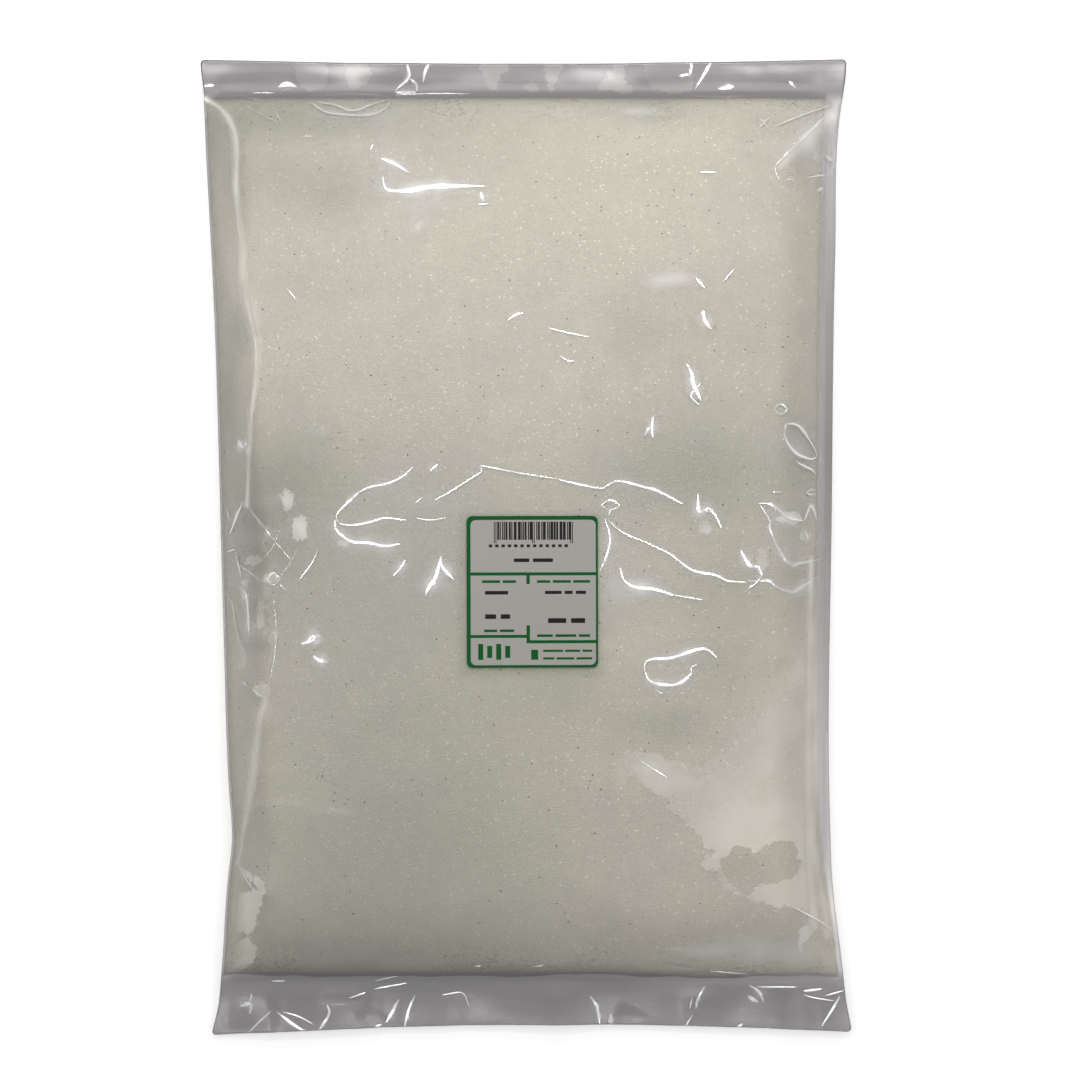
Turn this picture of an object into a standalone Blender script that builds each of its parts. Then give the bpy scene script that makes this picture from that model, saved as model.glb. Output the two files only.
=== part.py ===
"""A clear film bag filled with white sugar, sealed at both ends, with a price label on its front.

The bag lies on its back on a table at z = 0, with its front up and its top seal towards +Y.
Units are metres. The origin is on the table, under the middle of the bag.
"""

import math

import bmesh
import bpy
import numpy as np

# The bag seen from above: where its left, right, top and bottom edges run.
LEFT_EDGE = [  # (y, x) of the left side, drawn in at the waist, with a notch low down
    (0.1505, -0.0997), (0.1350, -0.0991), (0.0730, -0.0959), (-0.0190, -0.0932),
    (-0.0740, -0.0915), (-0.0885, -0.0906), (-0.1040, -0.0922), (-0.1270, -0.0938),
    (-0.1420, -0.0953), (-0.1505, -0.0968),
]
RIGHT_EDGE = [  # (y, x) of the right side
    (0.1505, 0.0984), (0.1400, 0.0981), (0.1335, 0.0971), (0.0885, 0.0953),
    (0.0110, 0.0941), (-0.0810, 0.0935), (-0.1040, 0.0944), (-0.1270, 0.0972),
    (-0.1505, 0.0998),
]
TOP_END = 0.1498         # y of the top edge at its corners
TOP_EDGE_DIP = 0.0013    # how far the middle of the top edge curves in
BOTTOM_END = -0.1498     # y of the bottom edge at its corners
BOTTOM_EDGE_DIP = 0.0028
TOP_SEAL_LINE = 0.1386   # y where the top heat seal meets the sugar
BOTTOM_SEAL_LINE = -0.1318

# The filled part: a flat back, steep shoulders and a low crown.
SIDE_FIN_LEFT = 0.0015   # flat crease of film beyond the sugar
SIDE_FIN_RIGHT = 0.0030
SHOULDER_RISE = 0.0150   # what the front rises over its shoulders
CROWN_RISE = 0.0090      # what it rises from there to the middle
SIDE_SHOULDER = 0.0190   # how wide the side shoulders are
TOP_SHOULDER = 0.0230
BOTTOM_SHOULDER = 0.0340
SIDE_CROWN = 0.0930
END_CROWN = 0.1350
SHOULDER_POWER = 2.3
CROWN_POWER = 2.0
SEAM_HEIGHT = 0.0075     # height of the side creases half way along
SEAL_HEIGHT = 0.0050     # height of the heat seals
BACK_SIDE = 0.0130       # how wide the back's round edge is before it lies flat
BACK_END = 0.0170
LIP_DROOP = 0.0020       # how far the free film past a seal sinks

# Folds and unevenness of the film.
FILM_PAIR = 0.0005       # thickness of the two sheets together in a seal or fin
LEFT_FOLD_IN = 0.0125    # the long soft fold runs this far in from the left edge
LEFT_FOLD_HEIGHT = 0.0011
LEFT_FOLD_WIDTH = 0.0035
DENT_HEIGHT = 0.0005     # slow unevenness of the packed sugar
DENT_ACROSS = 0.0130     # its wavelengths, in metres a radian
DENT_ALONG = 0.0170
DENT_SLANTED = 0.0085
LIP_WAVE = 0.0009        # waves along the free film past the bottom seal
TOP_LIP_WAVE = 0.0005
LIP_SHORT_WAVE = 0.0082  # their wavelengths, in metres a radian
LIP_LONG_WAVE = 0.0310
CORNER_FOLDS = [  # (start, end, height, half width) of the folds that run in from the corners
    ((0.0955, 0.1340), (0.0765, 0.1165), 0.0022, 0.0032),
    ((0.0955, 0.1340), (0.0740, 0.1290), 0.0014, 0.0028),
    ((-0.0960, 0.1340), (-0.0880, 0.1090), 0.0018, 0.0034),
    ((-0.0890, -0.0930), (-0.0740, -0.1060), 0.0018, 0.0032),
    ((0.0960, -0.1290), (0.0740, -0.1080), 0.0016, 0.0034),
]
GATHERS = 9              # folds that fan out into the filled part under each seal
GATHER_SPREAD = 0.0800   # how far the outermost ones lie from the middle
GATHER_LENGTH = 0.0210
GATHER_HEIGHT = 0.0011
GATHER_HALF_WIDTH = 0.0034
PUCKER_HEIGHT = 0.0011   # ripples across the side creases, strongest half way down the left one
PUCKER_PITCH = 0.0021    # metres a radian
PUCKER_IN = 0.0110       # how far in from the edge they are highest
PUCKER_REACH = 0.0090
PUCKER_MIDDLE = -0.0170  # y of the strongest ones
PUCKER_SPAN = 0.0420

# The price label.
LABEL_WIDTH = 0.0394
LABEL_HEIGHT = 0.0460
LABEL_CENTRE = (0.0022, -0.0136)
LABEL_TURN = math.radians(-0.7)
LABEL_CORNER = 0.0020
LABEL_THICKNESS = 0.00015
LABEL_GAP = 0.0003       # clear of the film below it
LABEL_STEP = 0.0055      # spacing of the cuts that let it follow the crown

# How finely the sheets are divided.
COLUMNS = 48
LIP_ROWS = 4
FILLED_ROWS = 68
EDGE_CROWDING = 0.62     # 0 spaces the rows and columns evenly, 1 crowds them at the edges


def smooth_curve(points, at):
    """A cubic curve through (y, x) points that run from high y to low, read at heights at."""
    ys = np.array([p[0] for p in reversed(points)])
    xs = np.array([p[1] for p in reversed(points)])
    slopes = np.gradient(xs, ys)
    at = np.clip(at, ys[0], ys[-1])
    i = np.clip(np.searchsorted(ys, at) - 1, 0, len(ys) - 2)
    span = ys[i + 1] - ys[i]
    t = (at - ys[i]) / span
    start = xs[i] * (1 + 2 * t) * (1 - t) ** 2 + slopes[i] * span * t * (1 - t) ** 2
    return start + xs[i + 1] * t * t * (3 - 2 * t) + slopes[i + 1] * span * t * t * (t - 1)


def ease(distance, reach, power):
    """0 at an edge, rising ever more gently to 1 at the given reach."""
    return 1 - (1 - np.clip(distance / reach, 0, 1)) ** power


def side_distances(x, y):
    """How far a point lies in from the left and the right fins."""
    left = x - smooth_curve(LEFT_EDGE, y) - SIDE_FIN_LEFT
    right = smooth_curve(RIGHT_EDGE, y) - SIDE_FIN_RIGHT - x
    return left, right


def seam_height(y):
    """Height of the middle of the film edge: highest half way along, drooping past the seals."""
    along = np.clip((y - BOTTOM_SEAL_LINE) / (TOP_SEAL_LINE - BOTTOM_SEAL_LINE), 0, 1)
    swell = (SEAM_HEIGHT - SEAL_HEIGHT) * np.sin(math.pi * along) ** 0.7
    past = np.maximum(y - TOP_SEAL_LINE, BOTTOM_SEAL_LINE - y)
    droop = LIP_DROOP * np.clip(past / (BOTTOM_SEAL_LINE - BOTTOM_END), 0, 1) ** 1.3
    return SEAL_HEIGHT + swell - droop


def lip_waves(x, y):
    """The free film past each seal waves up and down, more towards its open edge."""
    low = np.clip((BOTTOM_SEAL_LINE - y) / (BOTTOM_SEAL_LINE - BOTTOM_END), 0, 1)
    high = np.clip((y - TOP_SEAL_LINE) / (TOP_END - TOP_SEAL_LINE), 0, 1)
    waves_low = np.sin(x / LIP_SHORT_WAVE + 0.6) * np.sin(x / LIP_LONG_WAVE + 1.1)
    waves_high = np.sin(x / LIP_SHORT_WAVE + 2.0) * np.sin(x / LIP_LONG_WAVE + 0.3)
    return LIP_WAVE * low * waves_low + TOP_LIP_WAVE * high * waves_high


def dents(x, y):
    """Slow hollows and swellings of the packed sugar."""
    broad = np.sin(x / DENT_ACROSS + 1.3) * np.sin(y / DENT_ALONG + 0.4)
    slanted = np.sin((x + y) / DENT_SLANTED + 2.1) * np.sin((x - 0.6 * y) / DENT_SLANTED)
    return DENT_HEIGHT * (broad + 0.5 * slanted)


def fold_ridge(x, y, start, end, height, half_width):
    """A fold: a low ridge along a line, dying away at both ends."""
    run = np.array(end) - np.array(start)
    along = ((x - start[0]) * run[0] + (y - start[1]) * run[1]) / (run @ run)
    near = np.clip(along, 0, 1)
    away = np.hypot(x - start[0] - near * run[0], y - start[1] - near * run[1])
    fade = np.sin(math.pi * np.clip(0.08 + 0.84 * along, 0, 1))
    return height * fade * np.exp(-((away / half_width) ** 2))


def seal_gathers(x, y):
    """Short folds that fan out from both seals, uneven in place and length."""
    folds = np.zeros_like(x)
    for seal_line, inward in ((TOP_SEAL_LINE, -1), (BOTTOM_SEAL_LINE, 1)):
        for i in range(GATHERS):
            place = GATHER_SPREAD * (2 * i / (GATHERS - 1) - 1 + 0.06 * math.sin(3.1 * i + inward))
            length = GATHER_LENGTH * (1 + 0.35 * math.sin(2.3 * i + inward))
            start, end = (place, seal_line), (0.94 * place, seal_line + inward * length)
            folds = folds + fold_ridge(x, y, start, end, GATHER_HEIGHT, GATHER_HALF_WIDTH)
    return folds


def side_puckers(x, y):
    """Ripples that cross the creases of both sides."""
    left, right = side_distances(x, y)
    window = np.exp(-(((y - PUCKER_MIDDLE) / PUCKER_SPAN) ** 2))
    ripples = 0
    for side, strength, turn in ((left, 1.0, 0.4), (right, 0.5, 2.2)):
        near = np.exp(-(((side - PUCKER_IN) / PUCKER_REACH) ** 2))
        ripples = ripples + strength * near * np.sin(y / PUCKER_PITCH + turn + side / PUCKER_REACH)
    return PUCKER_HEIGHT * window * ripples


def fill_shape(x, y):
    """0 outside the sugar and 1 well inside it: one value for the shoulders, one for the crown."""
    left, right = side_distances(x, y)
    side = np.minimum(left, right)
    top, bottom = TOP_SEAL_LINE - y, y - BOTTOM_SEAL_LINE
    shoulder = (
        ease(side, SIDE_SHOULDER, SHOULDER_POWER)
        * ease(top, TOP_SHOULDER, SHOULDER_POWER)
        * ease(bottom, BOTTOM_SHOULDER, SHOULDER_POWER)
    )
    crown = ease(side, SIDE_CROWN, CROWN_POWER) * ease(np.minimum(top, bottom), END_CROWN, CROWN_POWER)
    return shoulder, crown


def front_height(x, y):
    """Height of the bag's front face over the table."""
    shoulder, crown = fill_shape(x, y)
    left = side_distances(x, y)[0]
    folds = LEFT_FOLD_HEIGHT * np.exp(-(((left - LEFT_FOLD_IN) / LEFT_FOLD_WIDTH) ** 2))
    for start, end, height, half_width in CORNER_FOLDS:
        folds = folds + fold_ridge(x, y, start, end, height, half_width)
    folds = folds + seal_gathers(x, y) + side_puckers(x, y)
    filled = SHOULDER_RISE * shoulder + CROWN_RISE * crown + shoulder * (folds + dents(x, y))
    return seam_height(y) + lip_waves(x, y) + FILM_PAIR / 2 + filled


def back_height(x, y):
    """Height of the bag's back: flat on the table, curving up to the film edge all round."""
    left, right = side_distances(x, y)
    side = np.minimum(left, right)
    end = np.minimum(TOP_SEAL_LINE - y, y - BOTTOM_SEAL_LINE)
    lying = ease(side, BACK_SIDE, CROWN_POWER) * ease(end, BACK_END, CROWN_POWER)
    return (seam_height(y) + lip_waves(x, y) - FILM_PAIR / 2) * (1 - lying)


def crowded(count):
    """Places from -1 to 1 that crowd towards both ends, where the bag curves most."""
    even = np.linspace(-1, 1, count)
    return (1 - EDGE_CROWDING) * even + EDGE_CROWDING * np.sin(even * math.pi / 2)


def row_places():
    """The y of each row: the lower lip, the filled part and the upper lip."""
    low = np.linspace(BOTTOM_END, BOTTOM_SEAL_LINE, LIP_ROWS + 1)[:-1]
    high = np.linspace(TOP_SEAL_LINE, TOP_END, LIP_ROWS + 1)[1:]
    middle = (TOP_SEAL_LINE + BOTTOM_SEAL_LINE) / 2
    half = (TOP_SEAL_LINE - BOTTOM_SEAL_LINE) / 2
    return np.concatenate([low, middle + half * crowded(FILLED_ROWS), high])


def plan_place(across, y):
    """Where the point across (-1 left, 1 right) of a row lies, its row bowed in at the bag's ends."""
    left, right = smooth_curve(LEFT_EDGE, y), smooth_curve(RIGHT_EDGE, y)
    x = left + (right - left) * (across + 1) / 2
    bow = 1 - across**2
    high = np.clip((y - TOP_SEAL_LINE) / (TOP_END - TOP_SEAL_LINE), 0, 1)
    low = np.clip((BOTTOM_SEAL_LINE - y) / (BOTTOM_SEAL_LINE - BOTTOM_END), 0, 1)
    return x, y - TOP_EDGE_DIP * high * bow + BOTTOM_EDGE_DIP * low * bow


def flat_tube(rows, columns):
    """Two sheets of one grid, joined all round, as the flat film tube is. Returns it with its upper points."""
    bm = bmesh.new()
    bmesh.ops.create_grid(bm, x_segments=len(columns) - 1, y_segments=len(rows) - 1, size=1.0)
    lifted = bmesh.ops.extrude_face_region(bm, geom=bm.faces[:], use_keep_orig=True)
    upper = {v for v in lifted["geom"] if isinstance(v, bmesh.types.BMVert)}
    return bm, upper


def linked_object(name, bm, collection, material):
    """The finished mesh as an object of the bag's collection."""
    mesh = bpy.data.meshes.new(name)
    bm.to_mesh(mesh)
    bm.free()
    mesh.materials.append(material)
    mesh.shade_smooth()
    placed = bpy.data.objects.new(name, mesh)
    collection.objects.link(placed)
    return placed


def make_bag(collection):
    """The sealed bag with the sugar in it, as one solid."""
    rows, columns = row_places(), crowded(COLUMNS)
    bm, upper = flat_tube(rows, columns)
    for v in bm.verts:
        column = round((v.co.x + 1) / 2 * (len(columns) - 1))
        row = round((v.co.y + 1) / 2 * (len(rows) - 1))
        x, y = plan_place(columns[column], rows[row])
        v.co = (x, y, front_height(x, y) if v in upper else back_height(x, y))
    bmesh.ops.recalc_face_normals(bm, faces=bm.faces)
    return linked_object("bag", bm, collection, sugar_in_film())


def rounded_sheet(width, height, corner, step):
    """A flat rectangle with round corners, cut across both ways so that it can bend."""
    bm = bmesh.new()
    bmesh.ops.create_grid(bm, x_segments=1, y_segments=1, size=0.5)
    bmesh.ops.scale(bm, vec=(width, height, 1), verts=bm.verts)
    bmesh.ops.bevel(
        bm, geom=bm.verts[:], offset=corner, segments=4, profile=0.5, affect="VERTICES"
    )
    for size, normal in ((width, (1, 0, 0)), (height, (0, 1, 0))):
        cuts = int(size / step)
        for i in range(1, cuts):
            place = [n * (i / cuts - 0.5) * size for n in normal]
            everything = bm.verts[:] + bm.edges[:] + bm.faces[:]
            bmesh.ops.bisect_plane(bm, geom=everything, plane_co=place, plane_no=normal)
    return bm


def make_label(collection):
    """The paper price label, which follows the crown of the bag's front."""
    bm = rounded_sheet(LABEL_WIDTH, LABEL_HEIGHT, LABEL_CORNER, LABEL_STEP)
    turn_x, turn_y = math.cos(LABEL_TURN), math.sin(LABEL_TURN)
    for v in bm.verts:
        x = LABEL_CENTRE[0] + v.co.x * turn_x - v.co.y * turn_y
        y = LABEL_CENTRE[1] + v.co.x * turn_y + v.co.y * turn_x
        v.co = (x, y, front_height(x, y) + LABEL_GAP)
    bmesh.ops.triangulate(bm, faces=bm.faces)
    bmesh.ops.recalc_face_normals(bm, faces=bm.faces)
    label = linked_object("label", bm, collection, label_paper())
    thickness = label.modifiers.new("paper thickness", "SOLIDIFY")
    thickness.thickness = LABEL_THICKNESS
    thickness.offset = 1
    return label


def plain_material(name, colour, roughness):
    """A Principled material with one colour."""
    material = bpy.data.materials.new(name)
    material.use_nodes = True
    shader = material.node_tree.nodes["Principled BSDF"]
    shader.inputs["Base Color"].default_value = (*colour, 1)
    shader.inputs["Roughness"].default_value = roughness
    shader.inputs["Metallic"].default_value = 0
    return material


def sugar_in_film():
    """White sugar seen through glossy clear film."""
    return plain_material("sugar in film", (0.57, 0.53, 0.45), 0.25)


def label_paper():
    """Pale grey label paper."""
    return plain_material("label paper", (0.42, 0.41, 0.38), 0.5)


def main():
    for old in list(bpy.data.objects):
        bpy.data.objects.remove(old)
    packet = bpy.data.collections.new("sugar packet")
    bpy.context.scene.collection.children.link(packet)
    make_bag(packet)
    make_label(packet)


main()
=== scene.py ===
import math

import bmesh
import bpy
import numpy as np
from mathutils import Matrix, Vector
from mathutils.bvhtree import BVHTree


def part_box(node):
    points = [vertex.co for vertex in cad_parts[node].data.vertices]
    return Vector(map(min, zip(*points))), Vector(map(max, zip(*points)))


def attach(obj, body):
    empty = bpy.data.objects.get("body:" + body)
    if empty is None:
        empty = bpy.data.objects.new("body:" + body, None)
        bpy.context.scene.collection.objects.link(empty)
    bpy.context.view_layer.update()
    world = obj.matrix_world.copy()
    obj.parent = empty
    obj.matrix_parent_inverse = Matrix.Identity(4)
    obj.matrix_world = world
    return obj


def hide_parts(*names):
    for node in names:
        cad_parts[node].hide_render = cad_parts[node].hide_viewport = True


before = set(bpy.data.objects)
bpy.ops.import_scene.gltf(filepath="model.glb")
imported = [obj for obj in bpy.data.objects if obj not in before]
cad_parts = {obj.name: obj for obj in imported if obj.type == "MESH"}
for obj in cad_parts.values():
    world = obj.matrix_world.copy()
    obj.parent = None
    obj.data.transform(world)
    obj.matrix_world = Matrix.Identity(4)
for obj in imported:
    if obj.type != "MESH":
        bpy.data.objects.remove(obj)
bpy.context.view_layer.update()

# A clear film bag of sugar on its back, seen from straight above: +Y is the top seal, +Z the front.
# Metres throughout, except where a name says pixels. Pixels are those of the 1080 x 1080 photograph.

viewFrom = {
    "framePixels": 1080,
    "pixelSize": 0.000306,       # metres a pixel at the height of the seals
    "sealHeight": 0.005,
    "bagMiddle": (526, 547),     # pixel of the bag's own origin
    "roll": math.radians(-0.05),
    "lens": 85.0,                # millimetres on a 36 mm sensor
    "sensor": 36.0,
}

sealLine = {"top": 0.1386, "bottom": -0.1318}   # y where the filled part ends
finWidth = {"left": 0.0003, "right": 0.0030}    # flat film outside the sugar at each side
finLook = {              # how far in it looks grey, its soft edge, and how grey
    "left": (0.0022, 0.0014, 0.45),
    "right": (0.0050, 0.0007, 1.0),
}
finRows = (100, 170, 300, 450, 600, 780, 850, 900, 940, 1000)   # rows of pixels
finLight = (0.9, 0.85, 0.35, 0.0, 0.4, 0.85, 0.95, 1.0, 0.95, 0.9)      # how light the right fin is there
finShare = (1.0, 1.0, 1.0, 1.0, 1.0, 1.0, 0.7, 0.3, 0.3, 0.3)           # how wide, against its full width


# Camera

def placeCamera():
    v = viewFrom
    middle = v["framePixels"] / 2
    distance = v["lens"] * v["framePixels"] * v["pixelSize"] / v["sensor"]
    camera = bpy.data.objects.new("camera", bpy.data.cameras.new("camera"))
    camera.data.lens = v["lens"]
    camera.data.sensor_width = v["sensor"]
    camera.data.clip_start = 0.01
    camera.location = (
        (middle - v["bagMiddle"][0]) * v["pixelSize"],
        (v["bagMiddle"][1] - middle) * v["pixelSize"],
        v["sealHeight"] + distance,
    )
    camera.rotation_euler = (0, 0, v["roll"])
    bpy.context.scene.collection.objects.link(camera)
    bpy.context.scene.camera = camera
    return camera


camera = placeCamera()
print("camera placed", tuple(round(n, 4) for n in camera.location))


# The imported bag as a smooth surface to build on

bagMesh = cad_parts["bag"].data
bagPoints = np.array([v.co for v in bagMesh.vertices])
bagFaces = np.array([tuple(p.vertices) for p in bagMesh.polygons])
bagTree = BVHTree.FromPolygons(bagPoints.tolist(), bagFaces.tolist())
edgeStarts = bagPoints[bagFaces[:, [0, 1, 2]]].reshape(-1, 3)
edgeEnds = bagPoints[bagFaces[:, [1, 2, 0]]].reshape(-1, 3)


def outlineReach(axis, at):
    # where the outline starts and ends on the line on which that coordinate is `at`
    a, b = edgeStarts[:, axis], edgeEnds[:, axis]
    crossing = (a <= at) != (b <= at)
    share = (at - a[crossing]) / (b[crossing] - a[crossing])
    start, end = edgeStarts[crossing, 1 - axis], edgeEnds[crossing, 1 - axis]
    places = start + share * (end - start)
    return places.min(), places.max()


def fromSeals(y):
    # how far inside the nearer seal, below 0 past it
    return np.minimum(sealLine["top"] - y, y - sealLine["bottom"])


bagLow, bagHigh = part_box("bag")
sideRows = np.linspace(bagLow.y + 2e-4, bagHigh.y - 2e-4, 160)
endColumns = np.linspace(-0.09, 0.09, 40)
leftSide, rightSide = np.array([outlineReach(1, y) for y in sideRows]).T
lowEnd, highEnd = np.array([outlineReach(0, x) for x in endColumns]).T
lowBow, highBow = np.polyfit(endColumns, lowEnd, 2), np.polyfit(endColumns, highEnd, 2)

trimSide = 0.0008        # how far the film's outline lies inside the solid's
trimTop, trimBottom, slantBottom = 0.0004, 0.0005, 0.0050


def sidesAt(y):
    trim = trimSide * smoothStep(np.abs(y), 0.1500, 0.1380)
    return np.interp(y, sideRows, leftSide) + trim, np.interp(y, sideRows, rightSide) - trim


def endsAt(x):
    # both ends of the bag bow in evenly
    return np.polyval(lowBow, x) + trimBottom + slantBottom * x, np.polyval(highBow, x) - trimTop


def cubicWeights(t):
    return (
        (1 - t) ** 3 / 6,
        (3 * t**3 - 6 * t**2 + 4) / 6,
        (-3 * t**3 + 3 * t**2 + 3 * t + 1) / 6,
        t**3 / 6,
    )


def readRaster(raster, x, y):
    # a smooth surface through the raster, read at any points
    across = (x - raster["low"][0]) / raster["step"]
    along = (y - raster["low"][1]) / raster["step"]
    rows, columns = raster["values"].shape
    column = np.clip(np.floor(across).astype(int), 1, columns - 3)
    row = np.clip(np.floor(along).astype(int), 1, rows - 3)
    total = np.zeros_like(x, dtype=float)
    for i, wx in enumerate(cubicWeights(across - column)):
        for j, wy in enumerate(cubicWeights(along - row)):
            total += wx * wy * raster["values"][row + j - 1, column + i - 1]
    return total


rasterMargin = 0.008


def blankRaster(step):
    low = (bagLow.x - rasterMargin, bagLow.y - rasterMargin)
    columns = int((bagHigh.x + rasterMargin - low[0]) / step) + 3
    rows = int((bagHigh.y + rasterMargin - low[1]) / step) + 3
    return {"low": low, "step": step, "values": np.zeros((rows, columns))}


def rasterPlaces(raster):
    rows, columns = raster["values"].shape
    x = raster["low"][0] + np.arange(columns) * raster["step"]
    y = raster["low"][1] + np.arange(rows) * raster["step"]
    return np.meshgrid(x, y)


def unevenness(x, y, size, seed):
    # a smooth random surface, about -1 to 1, with swellings of that size
    raster = blankRaster(size)
    raster["values"] = np.random.default_rng(seed).uniform(-1.7, 1.7, raster["values"].shape)
    return readRaster(raster, x, y)


def swells(x, y, layers):
    # smooth random surfaces added up, each layer a size, a height and a seed
    return sum(height * unevenness(x, y, size, seed) for size, height, seed in layers)


def smoothStep(value, low, high):
    t = np.clip((value - low) / (high - low), 0, 1)
    return t * t * (3 - 2 * t)


def blurred(values, spread):
    reach = int(3 * spread)
    kernel = np.exp(-0.5 * (np.arange(-reach, reach + 1) / spread) ** 2)
    kernel /= kernel.sum()
    padded = np.pad(values, reach, mode="edge")
    for axis in (0, 1):
        padded = np.apply_along_axis(np.convolve, axis, padded, kernel, "valid")
    return padded


def readSolid(step=0.0015, inside=0.0004):
    # heights of the front and the back of the solid, its facets smoothed away from the edges
    front, back = blankRaster(step), blankRaster(step)
    x, y = rasterPlaces(front)
    for i in np.ndindex(x.shape):
        left, right = sidesAt(y[i])
        px = min(max(x[i], left + inside), right - inside)
        low, high = endsAt(px)
        py = min(max(y[i], low + inside), high - inside)
        down = bagTree.ray_cast(Vector((px, py, 0.1)), Vector((0, 0, -1)))[0]
        up = bagTree.ray_cast(Vector((px, py, -0.1)), Vector((0, 0, 1)))[0]
        if down is None or up is None:
            down = up = bagTree.find_nearest(Vector((px, py, viewFrom["sealHeight"])))[0]
        front["values"][i], back["values"][i] = down.z, up.z
    left, right = sidesAt(y)
    fromEdge = np.minimum(np.minimum(x - left, right - x), fromSeals(y))
    inner = smoothStep(fromEdge, 0.009, 0.024)
    for raster in (front, back):
        raster["values"] += inner * (blurred(raster["values"], 2.2) - raster["values"])
    return front, back


frontRaster, backRaster = readSolid()
print("solid read:", frontRaster["values"].shape)


cornerRadius = 0.0014


def cornerShift(fromSide, fromEnd, radius):
    # how far in a round corner moves a point that lies so far from both edges of a rectangle
    inX, inY = np.clip(radius - fromSide, 0, None), np.clip(radius - fromEnd, 0, None)
    spare = 1 - np.maximum(inX, inY) / np.maximum(np.hypot(inX, inY), 1e-9)
    return inX * spare, inY * spare


def planPlace(across, along):
    # across runs -1 to 1 from the left side to the right, along 0 to 1 from the bottom edge to the top
    left, right = sidesAt(bagLow.y + along * (bagHigh.y - bagLow.y))
    x = left + (across + 1) / 2 * (right - left)
    low, high = endsAt(x)
    y = low + along * (high - low)
    inX, inY = cornerShift(np.minimum(x - left, right - x), np.minimum(y - low, high - y), cornerRadius)
    return x - np.sign(across) * inX, y + np.where(along < 0.5, 1, -1) * inY


def pixelPlace(pixel, height=None):
    # the point of the bag's front that a pixel of the photograph shows, or the point at a given height
    v = viewFrom
    half = v["framePixels"] / 2
    scale = v["sensor"] / v["framePixels"] / v["lens"]
    ray = Vector(((pixel[0] - half) * scale, (half - pixel[1]) * scale, -1))
    ray.rotate(Matrix.Rotation(v["roll"], 3, "Z"))
    if height is None:
        hit = bagTree.ray_cast(camera.location, ray)[0]
        height = hit.z if hit else v["sealHeight"]
    return camera.location + ray * (camera.location.z - height)


finHeights = [-pixelPlace((viewFrom["framePixels"] / 2, row), viewFrom["sealHeight"]).y for row in finRows]


def rightFin(y):
    # how wide the flat film is at the right
    return finWidth["right"] * np.interp(-y, finHeights, finShare)


# The creases of the film, each along pixels of the photograph.
# A crease has one steep flank, on the left of the way its route runs, which mirrors the ring of
# lights to the camera. Soft ones are swells of the film itself, the others are sharp folds on it.
# Each line gives the kind of crease and the pixels of its route.

foldWidths = {"bold": 0.00170, "sharp": 0.00108, "hair": 0.00055, "faint": 0.00050}    # of the steep flank
softFlank, softReach = 0.0020, 0.0060

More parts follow.
